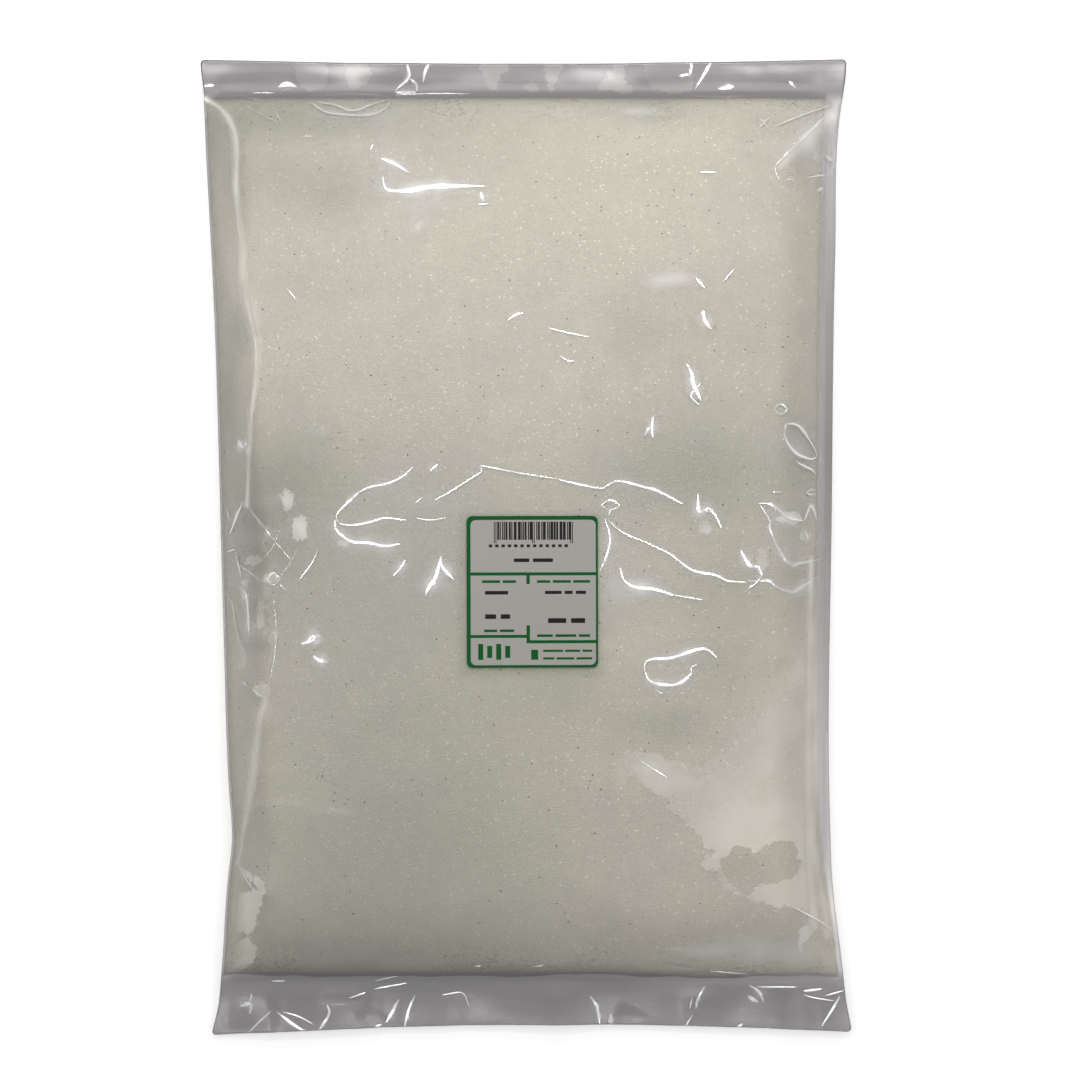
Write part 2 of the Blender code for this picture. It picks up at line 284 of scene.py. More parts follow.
creases = {
    # the long fold down the left side
    "leftFoldTop": "soft 240,250 240,225 235,190 237,150 232,125 220,110 204,98",
    "leftFoldUpper": "soft 247,505 248,430 252,400 256,370 255,340 243,285 241,250",
    "leftFoldLower": "soft 240,860 245,830 252,790 257,740 265,700",
    "leftFoldEdge": "hair 240,240 236,190 238,150 233,125 222,110",
    "leftFoldEdgeB": "hair 256,372 255,340 246,300",
    "leftBlob": "bold 238,440 243,447 247,442",
    "leftSlip": "sharp 242,504 236,518 230,534",
    "leftTick": "hair 227,511 230,520",
    "leftRun": "hair 247,506 260,522 272,538 290,559",
    "leftPatchA": "soft 281,490 295,509",
    "leftPatchB": "soft 292,515 311,541",
    "leftCurve": "hair 299,580 311,564 318,550",
    "leftDashA": "hair 227,552 235,549",
    "leftRunB": "hair 235,551 241,577",
    "leftRunC": "sharp 242,588 247,600 249,636",
    "leftRingA": "hair 267,579 273,573 279,579 273,585 267,579",
    "leftTickB": "hair 280,584 286,591",
    "leftStreakA": "soft 261,628 261,600",
    "leftStreakB": "soft 273,644 272,591",
    "leftRingB": "bold 300,644 308,642 314,637 321,635",
    "leftRingC": "bold 313,656 319,660 328,662",
    "leftFacetA": "faint 228,556 240,566 252,574 266,586",
    "leftFacetB": "faint 273,595 276,630 274,660 268,692",
    "leftFacetC": "faint 240,500 252,512 262,530",
    "leftFacetD": "faint 300,545 288,566 276,580",
    "leftFacetE": "faint 222,590 232,604 236,630 246,660",
    "leftFacetF": "faint 262,560 272,548 280,530",
    "leftDashB": "hair 242,681 247,686",
    "leftDashC": "hair 251,688 265,699",
    # along and under the top seal
    "seamLeft": "faint 249,93 262,93 275,93",
    "seamMiddle": "faint 396,95 430,94 470,94",
    "seamRight": "faint 690,96 720,97 755,96",
    "crescentOuter": "sharp 310,102 330,113 370,115 385,108 391,99",
    "crescentInner": "sharp 315,102 335,105 348,110 358,110 370,105 390,99",
    "crescentUpper": "faint 322,96 345,94 375,95 385,97",
    "topLeftA": "faint 234,95 245,105 262,115 281,123",
    "topLeftB": "faint 234,94 267,102",
    "topLeftC": "faint 272,105 281,122",
    # the top right corner
    "cornerLong": "hair 776,126 805,114 833,104",
    "cornerDeep": "sharp 775,165 803,138 832,109",
    "cornerCurve": "hair 780,180 776,172 775,165",
    "cornerBlob": "bold 825,156 833,161",
    "cornerLow": "hair 805,178 834,173",
    "cornerDash": "sharp 817,191 824,188",
    "cornerMark": "sharp 786,179 793,179",
    "cornerStarA": "hair 758,116 770,130",
    "cornerStarB": "hair 759,128 769,117",
    # upper part
    "upperStreak": "sharp 381,158 395,164 409,173",
    "upperHook": "bold 383,176 384,185 388,190 400,191 413,190 430,187 455,186 485,186",
    "upperHookFoot": "sharp 481,192 484,204",
    "upperGlow": "soft 405,238 418,227 432,214",
    "upperDashA": "hair 370,151 373,144",
    "upperDashB": "hair 479,204 489,204",
    "upperDashC": "hair 303,136 312,136",
    "upperDashD": "hair 287,288 298,302",
    "upperDashE": "sharp 507,321 515,315 523,313",
    "rightDashA": "hair 700,172 715,172",
    "cloudDash": "sharp 696,278 705,288",
    "cloudTail": "hair 722,283 728,276 736,267",
    "teardrop": "bold 703,310 705,320 711,329",
    "middleFaint": "hair 548,328 570,333 590,337",
    "middleFaintB": "hair 560,356 570,361 575,360",
    "angleTop": "bold 687,364 692,374 693,383 701,400",
    "angleLow": "sharp 701,383 691,395 699,405",
    "angleFoot": "bold 653,438 652,428 653,416",
    "angleFootB": "sharp 644,436 647,431 650,427",
    # loops at the right
    "smallRing": "hair 774,409 780,404 787,409 781,414 774,409",
    "loopTop": "sharp 785,431 787,424 797,425 804,432 810,441 815,450 817,456",
    "loopLow": "sharp 817,456 812,459 804,457 796,453 789,445 785,437 785,430",
    "underLoop": "sharp 796,461 802,465 812,470 816,475",
    "underDash": "hair 773,492 783,492",
    "smallHook": "hair 816,494 808,494 809,490 816,490",
    "tentRoof": "sharp 757,503 770,504 779,510 790,518 804,521",
    "tentPeak": "sharp 804,521 811,506 817,520",
    "tentLeg": "sharp 759,503 770,521 770,529 780,552 791,565 800,563 823,559",
    "tentMark": "hair 805,532 809,540",
    # network right of the middle
    "ridgeLeft": "hair 440,498 460,485 481,472 482,466 520,473 565,480",
    "ridgeMiddle": "sharp 560,480 578,484 598,488 605,488",
    "ridgeRight": "sharp 601,489 618,481 640,486 658,491 683,504",
    "knotRing": "hair 601,505 610,500 619,505 610,510 601,505",
    "knotTail": "hair 610,509 609,515",
    "sideArc": "sharp 598,574 606,557 610,538 605,519",
    "crossLeft": "hair 609,521 624,533 651,544",
    "crossRight": "sharp 645,542 670,554 692,570 715,575 729,581 745,582",
    "lowStreak": "bold 620,567 624,580 635,587 653,589 674,595",
    "lowStreakTail": "hair 668,594 704,600",
    "clawLeft": "bold 698,494 699,511 708,509 715,515 721,527",
    "forkStem": "bold 740,549 749,565 758,567 762,576",
    "forkTop": "sharp 748,581 768,581 777,587 791,592 800,588 821,574",
    "forkLow": "hair 747,589 756,583 762,575",
    # loop at the lower right
    "lowLoopTop": "bold 645,672 645,663 653,659 670,658 686,653 699,649 708,650 717,658",
    "lowLoopFoot": "bold 644,668 649,680 660,684 672,685 683,681 691,673 691,667 697,665",
    "lowLoopTail": "hair 656,690 663,694",
    "lowDash": "hair 781,700 788,700",
    # the open loop left of the label
    "leftLoopTop": "sharp 359,492 370,487 389,483 403,476 413,467",
    "leftLoopSide": "sharp 337,519 337,514 345,505 360,491",
    "leftLoopLow": "bold 335,519 336,529 345,538 354,542 370,543 384,546 400,544",
    "leftLoopBranch": "sharp 337,519 341,524 354,525 370,522 385,518 406,520",
    "leftKnot": "sharp 430,471 438,464",
    "leftMarkA": "hair 415,503 423,497",
    "leftMarkB": "hair 435,500 451,491 467,481 478,473",
    "leftMarkC": "hair 416,518 430,520 445,518",
    "leftMarkD": "sharp 393,576 401,567 405,560",
    "peakRight": "bold 441,556 442,566 454,580",
    "peakLeft": "bold 425,596 429,587 437,575 441,556",
    "peakMiddle": "bold 434,586 440,560",
    # lower part
    "lowerCrease": "hair 784,906 799,910 826,925 837,938",
    "lowerLeftFold": "hair 240,870 255,890 270,895",
    "lowerCraters": "hair 640,760 652,768 668,778",
    # the top seal
    "topSealLeft": "sharp 204,86 214,85",
    "topSealOval": "bold 278,87 287,84 297,87",
    "topSealNeck": "sharp 406,62 409,72 407,80 400,86 395,91",
    "topSealFlask": "sharp 417,91 416,84 409,78",
    "topSealFoot": "sharp 416,92 405,93 395,92",
    "topSealStreak": "sharp 423,82 425,72 429,62",
    "topSealBlob": "sharp 679,76 689,74",
    "topSealWedge": "sharp 692,62 691,70 689,77",
    "topSealCurve": "sharp 695,89 703,76 711,62",
    "topSealPair": "bold 719,88 734,86",
    "topSealDash": "sharp 789,81 796,88",
    # the bottom seal
    "endSquare": "bold 240,1006 250,1004 250,1014",
    "endTick": "hair 250,1001 252,993",
    "endFanA": "sharp 249,1032 260,1021 271,1011",
    "endFanB": "sharp 277,1012 296,1026 306,1032",
    "endFanC": "hair 283,1012 298,1016 313,1024",
    "endDash": "hair 271,981 285,981",
    "endBend": "sharp 318,1032 329,1014 327,1004",
    "endSoftA": "soft 322,1006 322,988",
    "endDashB": "hair 349,998 366,992",
    "endSoftB": "soft 354,1031 366,1006",
    "endTopA": "hair 374,989 390,986 407,983",
    "endTopB": "hair 375,981 397,976",
    "endLongA": "sharp 404,1028 409,1009 415,995",
    "endLongB": "sharp 384,1024 390,1016 399,999",
    "endBlob": "bold 374,1027 382,1024",
    "endFaint": "hair 443,995 462,993 469,1006",
    "endDashC": "hair 474,966 482,966",
    "endDashD": "hair 532,967 544,965",
    "endMiddle": "sharp 590,996 597,1007 600,1025",
    "endMiddleB": "bold 611,1027 611,1014",
    "endSoftC": "soft 614,1026 624,1004",
    "endRightA": "sharp 696,1009 698,999 705,986",
    "endRightB": "hair 685,1027 693,1015",
    "endRightC": "hair 690,1009 692,998",
    "endOverA": "hair 669,965 695,970",
    "endOverB": "hair 710,971 747,974",
    "endDashE": "hair 757,987 797,987",
    "endLoopA": "sharp 749,985 758,991 764,1002",
    "endLoopB": "bold 748,996 758,1002",
    "endDotRight": "sharp 736,1028 743,1024",
    "endForkA": "hair 804,995 815,998 834,1001",
    "endForkB": "sharp 804,991 822,989",
    "endForkC": "hair 825,996 845,990",
    "endForkD": "sharp 822,1026 832,1010 840,996",
}

# Places where a soft pale sheen is painted on the film, painted highlight and painted light: pixel, radii in
# pixels, how much

paintedSheenClouds = [
    ((655, 283), (18, 11), 0.6), ((680, 278), (24, 10), 0.9), ((663, 412), (7, 7), 0.6),
    ((418, 226), (10, 12), 0.6), ((288, 500), (8, 10), 0.5), ((302, 528), (10, 13), 0.5),
    ((650, 768), (12, 8), 0.5), ((688, 782), (18, 11), 0.5), ((790, 518), (15, 8), 0.9),
    ((785, 542), (22, 20), 0.45), ((707, 531), (9, 8), 0.7), ((800, 448), (16, 18), 0.6),
    ((440, 580), (12, 12), 0.5), ((320, 430), (12, 8), 0.6), ((825, 156), (10, 9), 0.6),
    ((665, 672), (30, 16), 0.4), ((350, 515), (16, 26), 0.3), ((640, 110), (28, 9), 0.8),
    ((440, 204), (40, 10), 0.45), ((560, 112), (24, 7), 0.5), ((770, 948), (70, 26), 0.4),
    ((680, 950), (50, 18), 0.25), ((812, 830), (20, 120), 0.3), ((825, 150), (20, 60), 0.5),
    ((700, 430), (30, 30), 0.25), ((300, 300), (60, 60), 0.15), ((805, 140), (26, 30), 0.5),
    ((430, 500), (50, 16), 0.3), ((620, 590), (30, 20), 0.5),
]

# Places where painted shade darkens the sugar, where less light falls: pixel, radii in pixels, how much

paintedShades = [
    ((330, 112), (190, 34), 0.45), ((250, 130), (90, 50), 0.35), ((650, 104), (60, 22), 0.35),
    ((780, 130), (60, 40), 0.2), ((300, 185), (90, 30), 0.2), ((400, 560), (190, 130), 0.4),
    ((400, 830), (200, 150), 0.42), ((260, 500), (60, 70), 0.3), ((700, 470), (100, 56), 0.52),
    ((725, 590), (60, 50), 0.3), ((560, 690), (60, 30), 0.2), ((665, 725), (46, 20), 0.3),
    ((720, 670), (40, 30), 0.25), ((735, 868), (40, 14), 0.25), ((340, 900), (170, 70), 0.2),
    ((360, 958), (180, 22), 0.34), ((228, 400), (12, 60), 0.5), ((800, 430), (26, 60), 0.25),
    ((640, 330), (30, 30), 0.15), ((240, 328), (12, 26), 0.35), ((222, 300), (9, 60), 0.25),
    ((710, 330), (90, 40), 0.16), ((470, 150), (110, 26), 0.18), ((300, 462), (50, 36), 0.22),
    ((250, 550), (22, 60), 0.25), ((330, 200), (40, 30), 0.2),
]

# Patches where the film stands off with a sharp edge, drawn milky pale, partly painted reflection: how much,
# the pixel where each is strongest, how many pixels from there it has faded, and its outline
# counter-clockwise as seen

patches = {
    "cloudLow": (0.75, (655, 775), 46, (
        "614,760 613,790 622,791 629,777 640,779 652,792 670,801 690,798 705,787 708,773 690,765 "
        "655,755 636,751 622,752"
    )),
    "rightLight": (1.0, (755, 848), 100, (
        "664,806 684,822 700,838 703,846 716,852 704,858 700,866 716,872 722,868 722,860 735,848 "
        "745,846 757,854 762,847 778,843 794,842 797,858 806,868 820,880 832,900 831,860 828,800 "
        "826,745 800,735 760,738 725,750 700,766 682,780 668,790"
    )),
    "rightBand": (0.9, (800, 895), 90, (
        "747,898 773,907 793,908 813,920 832,936 832,900 816,878 804,868 797,872 787,880 760,886"
    )),
    "rightCrescent": (0.9, (805, 940), 60, "797,943 800,957 805,943 817,933 822,928 810,925 801,930"),
    "leftLow": (0.95, (245, 905), 100, (
        "232,893 229,915 228,934 240,932 250,935 257,920 262,900 268,890 262,880 250,874 241,868 "
        "240,873 252,882 256,888 246,892"
    )),
    "leftEnd": (0.95, (240, 955), 90, "226,942 224,968 234,974 250,966 258,955 256,945 246,938 236,943"),
    "sealTongueA": (0.3, (310, 76), 90, "294,61 297,78 304,89 322,89 327,78 325,61"),
    "sealTongueB": (0.35, (357, 76), 90, "344,61 346,78 353,89 364,86 371,76 366,61"),
    "sealTongueC": (0.4, (492, 76), 90, "477,60 484,76 492,91 500,80 508,60"),
    "sealTongueD": (0.35, (531, 86), 90, "524,86 528,92 536,92 538,85 531,81"),
    "sealTongueE": (0.4, (552, 76), 90, "543,60 546,78 551,92 557,80 564,60"),
    "sealTongueF": (0.4, (612, 80), 90, "616,60 608,74 600,83 602,91 631,91 624,78 628,60"),
    "sealTongueG": (0.3, (668, 76), 90, "643,60 646,78 656,91 690,91 690,60"),
}

# Soft pale strokes painted on the film: painted highlights along its folds and painted light where it
# lies in shade; how much, and a route of pixels with the stroke's half width in pixels at each

paintedLightStrokes = {
    "leftFold": (1.0, (
        "204,98,2 222,110,3 233,128,5 236,150,5 237,190,5 240,222,6 243,245,9 243,272,10 247,296,7 "
        "253,318,4 257,345,3 256,380,3 251,430,3 247,505,3"
    )),
    "leftFoldUpper": (0.5, "226,255,6 232,285,6 240,305,4"),
    "leftFoldLow": (0.85, "266,696,4 258,730,7 253,770,8 247,808,7 242,838,4 238,864,3"),
    "leftCorner": (0.7, "240,868,3 252,878,3 264,892,3"),
    "topRight": (0.85, "780,166,5 806,142,9 830,116,7"),
    "rightEdge": (1.0, "811,560,3 811,640,6 810,720,9 810,790,11 810,860,10 814,925,8"),
    "rightPale": (0.8, "798,670,22 788,705,32 776,740,40 764,778,40"),
    "rightLow": (1.0, "813,850,9 820,880,10 826,906,10 828,935,8"),
    "endPale": (0.7, "660,948,1 700,952,9 740,950,20 785,953,22 828,956,16"),
    "lowStreak": (0.45, "255,803,3 285,802,5 315,809,5 352,813,3"),
}

# Small pale patches, painted highlights: pixel, radii in pixels, how much

paintedHighlightBlobs = [
    ((288, 500), (7, 11), 0.7), ((301, 528), (9, 14), 0.8), ((343, 543), (7, 4), 0.5),
    ((272, 578), (8, 6), 0.5), ((262, 614), (5, 15), 0.45), ((274, 640), (4, 12), 0.45),
    ((240, 655), (6, 16), 0.4), ((262, 690), (9, 7), 0.7), ((252, 560), (10, 5), 0.5),
    ((244, 590), (4, 12), 0.45), ((790, 518), (13, 6), 0.6), ((806, 536), (6, 6), 0.6),
    ((762, 560), (6, 12), 0.5), ((705, 528), (7, 6), 0.5), ((822, 158), (8, 6), 0.6),
    ((318, 640), (6, 5), 0.5), ((236, 262), (9, 20), 0.4),
]

sealStep = [         # above this line the top seal is a little lighter
    (203, 74), (300, 72), (360, 76), (440, 79), (520, 82), (600, 80), (700, 75), (843, 71),
]

crumples = [         # finely crumpled areas of film: pixel, radii in pixels, ridge height, size of the facets
    ((245, 590), (34, 100), 0.00034, 0.0046), ((285, 530), (26, 46), 0.00022, 0.0060),
    ((795, 540), (36, 44), 0.00018, 0.0050), ((805, 150), (30, 32), 0.00014, 0.0044),
    ((250, 900), (28, 50), 0.00016, 0.0060),
]


def spots(line):
    # the pixels that a line of text gives
    return [tuple(int(n) for n in spot.split(",")) for spot in line.split()]


def blobRoute(pixel, radii, count=8):
    # counter-clockwise as seen, with y down
    turns = [math.tau * i / count for i in range(count)]
    return [(pixel[0] + radii[0] * math.cos(a), pixel[1] - radii[1] * math.sin(a)) for a in turns]


patchList = [
    *[(amount, pixel, reach, spots(route)) for amount, pixel, reach, route in patches.values()],
    *[(amount, pixel, 4 * max(radii), blobRoute(pixel, radii)) for pixel, radii, amount in paintedHighlightBlobs],
]


def routeCurve(pixels, spacing=0.0006):
    # evenly spaced points on a smooth curve through the pixels' places on the front
    points = np.array([pixelPlace(p).xy for p in pixels])
    ends = np.vstack([2 * points[0] - points[1], points, 2 * points[-1] - points[-2]])
    curve = []
    for a, b, c, d in zip(ends, ends[1:], ends[2:], ends[3:]):
        count = max(2, int(np.hypot(*(c - b)) / spacing))
        t = np.linspace(0, 1, count, endpoint=False)[:, None]
        curve.append(
            b + t * (c - a) / 2 + t**2 * (a - 2.5 * b + 2 * c - d / 2) + t**3 * (1.5 * (b - c) + (d - a) / 2)
        )
    return np.vstack([*curve, points[-1:]])


def nearCurve(x, y, curve, reach):
    # the points within reach of a curve, how far left of it they lie, and which step of it is nearest
    low, high = curve.min(0) - reach, curve.max(0) + reach
    near = np.flatnonzero((x > low[0]) & (x < high[0]) & (y > low[1]) & (y < high[1]))
    start, run = curve[:-1], np.diff(curve, axis=0)
    offX, offY = x[near, None] - start[None, :, 0], y[near, None] - start[None, :, 1]
    share = np.clip((offX * run[:, 0] + offY * run[:, 1]) / (run**2).sum(1), 0, 1)
    away = np.hypot(offX - share * run[:, 0], offY - share * run[:, 1])
    step = away.argmin(1)
    rows = np.arange(len(near))
    left = np.sign(run[step, 0] * offY[rows, step] - run[step, 1] * offX[rows, step])
    return near, np.where(left == 0, 1, left) * away[rows, step], step + share[rows, step]


lightRing = {
    "count": 12,
    "radius": 0.66,
    "height": 0.92,
    "size": (0.30, 0.030),
    "radiance": 33.0,
    "backShare": 0.58,       # how much weaker the lights towards -Y are
}


def leftOf(curve):
    # unit vectors to the left of each point of a curve
    run = np.gradient(curve, axis=0)
    run /= np.maximum(np.hypot(*run.T), 1e-9)[:, None]
    return np.stack([-run[:, 1], run[:, 0]], axis=1)


def ringMiss(spots, slopes):
    # where the camera's ray, mirrored at each spot by that slope, passes the ring: outside is above 0
    normals = np.concatenate([-slopes, np.ones((len(spots), 1))], axis=1)
    normals /= np.linalg.norm(normals, axis=1)[:, None]
    rays = spots - np.array(camera.location)
    rays /= np.linalg.norm(rays, axis=1)[:, None]
    rays -= 2 * (rays * normals).sum(1)[:, None] * normals
    hits = spots[:, :2] + rays[:, :2] * ((lightRing["height"] - spots[:, 2]) / rays[:, 2])[:, None]
    return np.hypot(*hits.T) - lightRing["radius"]


def flankSlopes(curve):
    # how steep a flank facing left of the curve has to be to mirror the ring of lights to the camera
    x, y = curve.T
    step = 0.0008
    tilt = np.stack([
        (filmSurface(x + step, y) - filmSurface(x - step, y)) / (2 * step),
        (filmSurface(x, y + step) - filmSurface(x, y - step)) / (2 * step),
    ], axis=1)
    spots = np.column_stack([curve, filmSurface(x, y)])
    facing = leftOf(curve)
    candidates = np.linspace(0.05, 1.1, 176)
    misses = np.array([np.abs(ringMiss(spots, tilt - s * facing)) for s in candidates])
    best = candidates[misses.argmin(0)]
    return blurred(best[:, None], 2.0)[:, 0], misses.min(0).mean()


def alongCrease(curve, seed, variation):
    # how the flank's width varies along a crease: it tapers to both ends unless the crease is closed
    along = np.linspace(0, 1, len(curve))
    closed = np.hypot(*(curve[0] - curve[-1])) < 0.0003
    taper = 1 if closed else np.sin(math.pi * np.clip(0.02 + 0.96 * along, 0, 1)) ** 0.6
    knots = np.linspace(0, 1, max(4, len(curve) // 7))
    draws = np.random.default_rng(seed).uniform(*variation, len(knots))
    return taper * np.interp(along, knots, draws)


def softLift(x, y, curve, seed):
    # near points, how far a soft crease lifts the film there, and how smooth it draws it
    near, left, place = nearCurve(x, y, curve, 2.2 * softReach)
    steps = np.arange(len(curve))
    wide = np.interp(place, steps, softFlank * alongCrease(curve, seed, (0.7, 1.2)))
    steep = 0.7 * np.interp(place, steps, flankSlopes(curve)[0])
    rise = np.interp(left / np.maximum(wide, 1e-5) + 0.5, (-0.15, 0.15, 0.85, 1.15), (1, 0.85, 0.15, 0))
    fall = np.exp(-((np.clip(-left - 0.5 * wide, 0, None) / softReach) ** 2))
    drawn = np.exp(-((left / np.maximum(wide, 1e-5)) ** 2))
    return near, steep * wide * rise * fall, 0.3 * drawn


def routeCrease(kind, route):
    # the curve, turned round where only its other side can mirror the lights
    curve = routeCurve(spots(route), 0.0004)
    if kind == "soft" or flankSlopes(curve)[1] < 0.03 + flankSlopes(curve[::-1])[1]:
        return curve
    return curve[::-1].copy()


unevenSizes = {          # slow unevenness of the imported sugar: size of the swellings, height, seed
    "broad": (0.0300, 0.00045, 3),
    "middle": (0.0110, 0.00012, 5),
}

filmShape = {
    "columns": 80,
    "rows": 122,
    "rimHalf": 0.00004,      # half the gap between the two sheets where they are sealed
    "insideSolid": 0.00021,  # how far the film keeps inside the solid's fins
    "softNear": 0.0050,      # one division finer within this distance of a soft crease, and in the seals
    "patchNear": 0.0026,     # along the edges of patches
    "foldNear": 0.0016,      # and along sharp folds
    "looseDrift": ((0.0220, 1.0, 21), (0.0080, 0.5, 22), (0.0038, 0.5, 23)),     # where it stands off
    "crumpledFrom": 0.00006, # and where crumples lift it more than this
    "cloudSheen": 0.85,      # how strong the clouds' painted sheen is
    "sealGloss": 0.75,       # how smooth the seals are drawn
    "sealMilk": 0.28,        # how milky the patches in them are
    "topSealed": 1.45,       # how much more of its own look the top seal has
}

sealFolds = {            # flat facets of the free film past each seal
    "top": {"pitch": 0.0105, "height": 0.00022, "slant": 0.16, "seed": 51},
    "topFine": {"pitch": 0.0046, "height": 0.00006, "slant": 0.06, "seed": 52},
    "bottom": {"pitch": 0.0085, "height": 0.00055, "slant": 0.14, "seed": 53},
    "bottomFine": {"pitch": 0.0040, "height": 0.00012, "slant": 0.06, "seed": 54},
}


def filledShare(x, y):
    # 0 on the flat fins and seals, 1 over the sugar
    left, right = sidesAt(y)
    side = np.minimum(x - left - finWidth["left"], right - finWidth["right"] - x)
    return smoothStep(np.minimum(side, fromSeals(y)), 0.0, 0.008)


def unevenSugar(x, y):
    return swells(x, y, unevenSizes.values()) * filledShare(x, y)


def plainFront(x, y):
    # the film before its creases
    return readRaster(frontRaster, x, y) + unevenSugar(x, y)


def sealFacets(x, y):
    total = np.zeros_like(x)
    for name, fold in sealFolds.items():
        past = y - sealLine["top"] if name.startswith("top") else sealLine["bottom"] - y
        past = np.clip(past, 0, None)
        rng = np.random.default_rng(fold["seed"])
        count = int(0.22 / fold["pitch"])
        starts = np.linspace(-0.11, 0.11, count) + fold["pitch"] * rng.uniform(-0.3, 0.3, count)
        slants = fold["slant"] * rng.uniform(-1, 1, count)
        heights = fold["height"] * rng.uniform(-1, 1, count)
        folds = starts[None, :] + slants[None, :] * past[:, None]
        after = np.clip((folds <= x[:, None]).sum(1), 1, count - 1)
        rows = np.arange(len(x))
        before = folds[rows, after - 1]
        share = (x - before) / (folds[rows, after] - before)
        total += (heights[after - 1] * (1 - share) + heights[after] * share) * smoothStep(past, 0, 0.007)
    return total


def filmSurface(x, y):
    # the front film before its creases, seals too
    return plainFront(x, y) - filmShape["insideSolid"] + sealFacets(x, y)


def underLabel(x, y):
    across, up = labelPlace(x, y)
    return smoothStep(np.abs(across), 0.0225, 0.0190) * smoothStep(np.abs(up), 0.0255, 0.0220)


creaseKinds = [line.split(" ", 1)[0] for line in creases.values()]
creaseCurves = [routeCrease(*line.split(" ", 1)) for line in creases.values()]
patchEdges = [routeCurve(outline + outline[:1]) for amount, centre, reach, outline in patchList]
print("creases routed:", len(creaseCurves), "patches:", len(patchEdges))


def creasesOf(*kinds):
    # the seed, kind and curve of every crease of those kinds
    every = enumerate(zip(creaseKinds, creaseCurves))
    return [(200 + i, kind, curve) for i, (kind, curve) in every if kind in kinds]


def softCreases(x, y):
    # how far all soft creases lift the film, and how smooth they draw it
    lift, smooth = np.zeros_like(x), np.zeros_like(x)
    for seed, kind, curve in creasesOf("soft"):
        near, rise, drawn = softLift(x, y, curve, seed)
        lift[near] += rise
        smooth[near] = np.maximum(smooth[near], drawn)
    clear = 1 - underLabel(x, y)
    return lift * clear, smooth * clear


def spread(areas, x, y):
    # the sum of soft round areas
    total = np.zeros_like(x)
    for pixel, radii, amount in areas:
        centre = pixelPlace(pixel)
        wide, tall = radii[0] * viewFrom["pixelSize"], radii[1] * viewFrom["pixelSize"]
        total += amount * np.exp(-(((x - centre.x) / wide) ** 2) - ((y - centre.y) / tall) ** 2)
    return total


def paintedLightShare(x, y):
    # how much painted light the soft strokes put on the film
    total = np.zeros_like(x)
    for amount, line in paintedLightStrokes.values():
        stops = spots(line)
        curve = routeCurve([stop[:2] for stop in stops])
        along, stopsAlong = np.linspace(0, 1, len(curve)), np.linspace(0, 1, len(stops))
        widths = np.interp(along, stopsAlong, [stop[2] for stop in stops])
        near, left, place = nearCurve(x, y, curve, 2.2 * viewFrom["pixelSize"] * max(widths))
        half = viewFrom["pixelSize"] * np.interp(place, np.arange(len(curve)), widths)
        total[near] = np.maximum(total[near], amount * np.exp(-((left / half) ** 2)))
    return total * (0.85 + 0.25 * unevenness(x, y, 0.0050, 47))


def crumpleLift(x, y):
    # sharp-crested ridges, highest in the middle of each crumpled area
    total = np.zeros_like(x)
    for seed, (pixel, radii, height, size) in enumerate(crumples):
        ridges = 1 - np.minimum(np.abs(unevenness(x, y, size, 300 + seed)) * 1.6, 1)
        total += ridges * spread([(pixel, radii, height)], x, y)
    return total * (1 - underLabel(x, y))


def crumpleGloss(x, y):
    # how smooth the crumpled areas are, the higher their ridges the smoother
    areas = [(pixel, radii, height / 0.0004) for pixel, radii, height, *rest in crumples]
    return np.clip(spread(areas, x, y), 0, 0.8)


def patchDepth(x, y):
    # how deep inside a patch a point lies, below 0 outside, and how milky the patch is there
    depth, milk = np.full_like(x, -1.0), np.zeros_like(x)
    for curve, (amount, pixel, reach, *rest) in zip(patchEdges, patchList):
        near, left = nearCurve(x, y, curve, 0.008)[:2]
        here = np.clip(left / 0.004, -1, 1)
        centre = pixelPlace(pixel)
        away = np.hypot(x[near] - centre.x, y[near] - centre.y) / (reach * viewFrom["pixelSize"])
        deeper = here > depth[near]
        milk[near[deeper]] = (amount * np.exp(-(away**2)))[deeper]
        depth[near[deeper]] = here[deeper]
    return depth, milk


def sealBand(x, y):
    # how far above the step in the top seal
    steps = np.array([pixelPlace(p, viewFrom["sealHeight"]).xy for p in sealStep])
    return np.where(y > sealLine["top"] + 0.001, np.clip((y - np.interp(x, *steps.T)) / 0.004, -1, 1), -1)


glowReach = {"bold": (0.0028, 1.0), "sharp": (0.0020, 0.65), "hair": (0.0010, 0.2), "faint": (0.0008, 0.1)}


def foldGlow(x, y):
    # the painted sheen beside sharp folds
    total = np.zeros_like(x)
    for seed, kind, curve in creasesOf(*foldWidths):
        reach, strength = glowReach[kind]
        near, left, place = nearCurve(x, y, curve, 2.5 * reach)
        along = alongCrease(curve, seed, (0.5, 1.1))
        sheen = strength * np.interp(place, np.arange(len(curve)), along) * np.exp(-((left / reach) ** 2))
        total[near] = np.maximum(total[near], sheen)
    return total * (1 - underLabel(x, y))


# The label's own frame, in metres from its middle and turned with it

label = {
    "width": 0.0388,
    "height": 0.0449,
    "middle": (0.0020, -0.0132),
    "turn": math.radians(0.1),
    "corner": 0.0020,
    "overFilm": 0.00006,
    "thickness": 0.00014,
}


def labelPlace(x, y):
    # the label's own coordinates of points of the bag
    dx, dy = x - label["middle"][0], y - label["middle"][1]
    c, s = math.cos(label["turn"]), math.sin(label["turn"])
    return dx * c + dy * s, dy * c - dx * s


def labelToBag(across, up):
    c, s = math.cos(label["turn"]), math.sin(label["turn"])
    return label["middle"][0] + across * c - up * s, label["middle"][1] + across * s + up * c


# Meshes

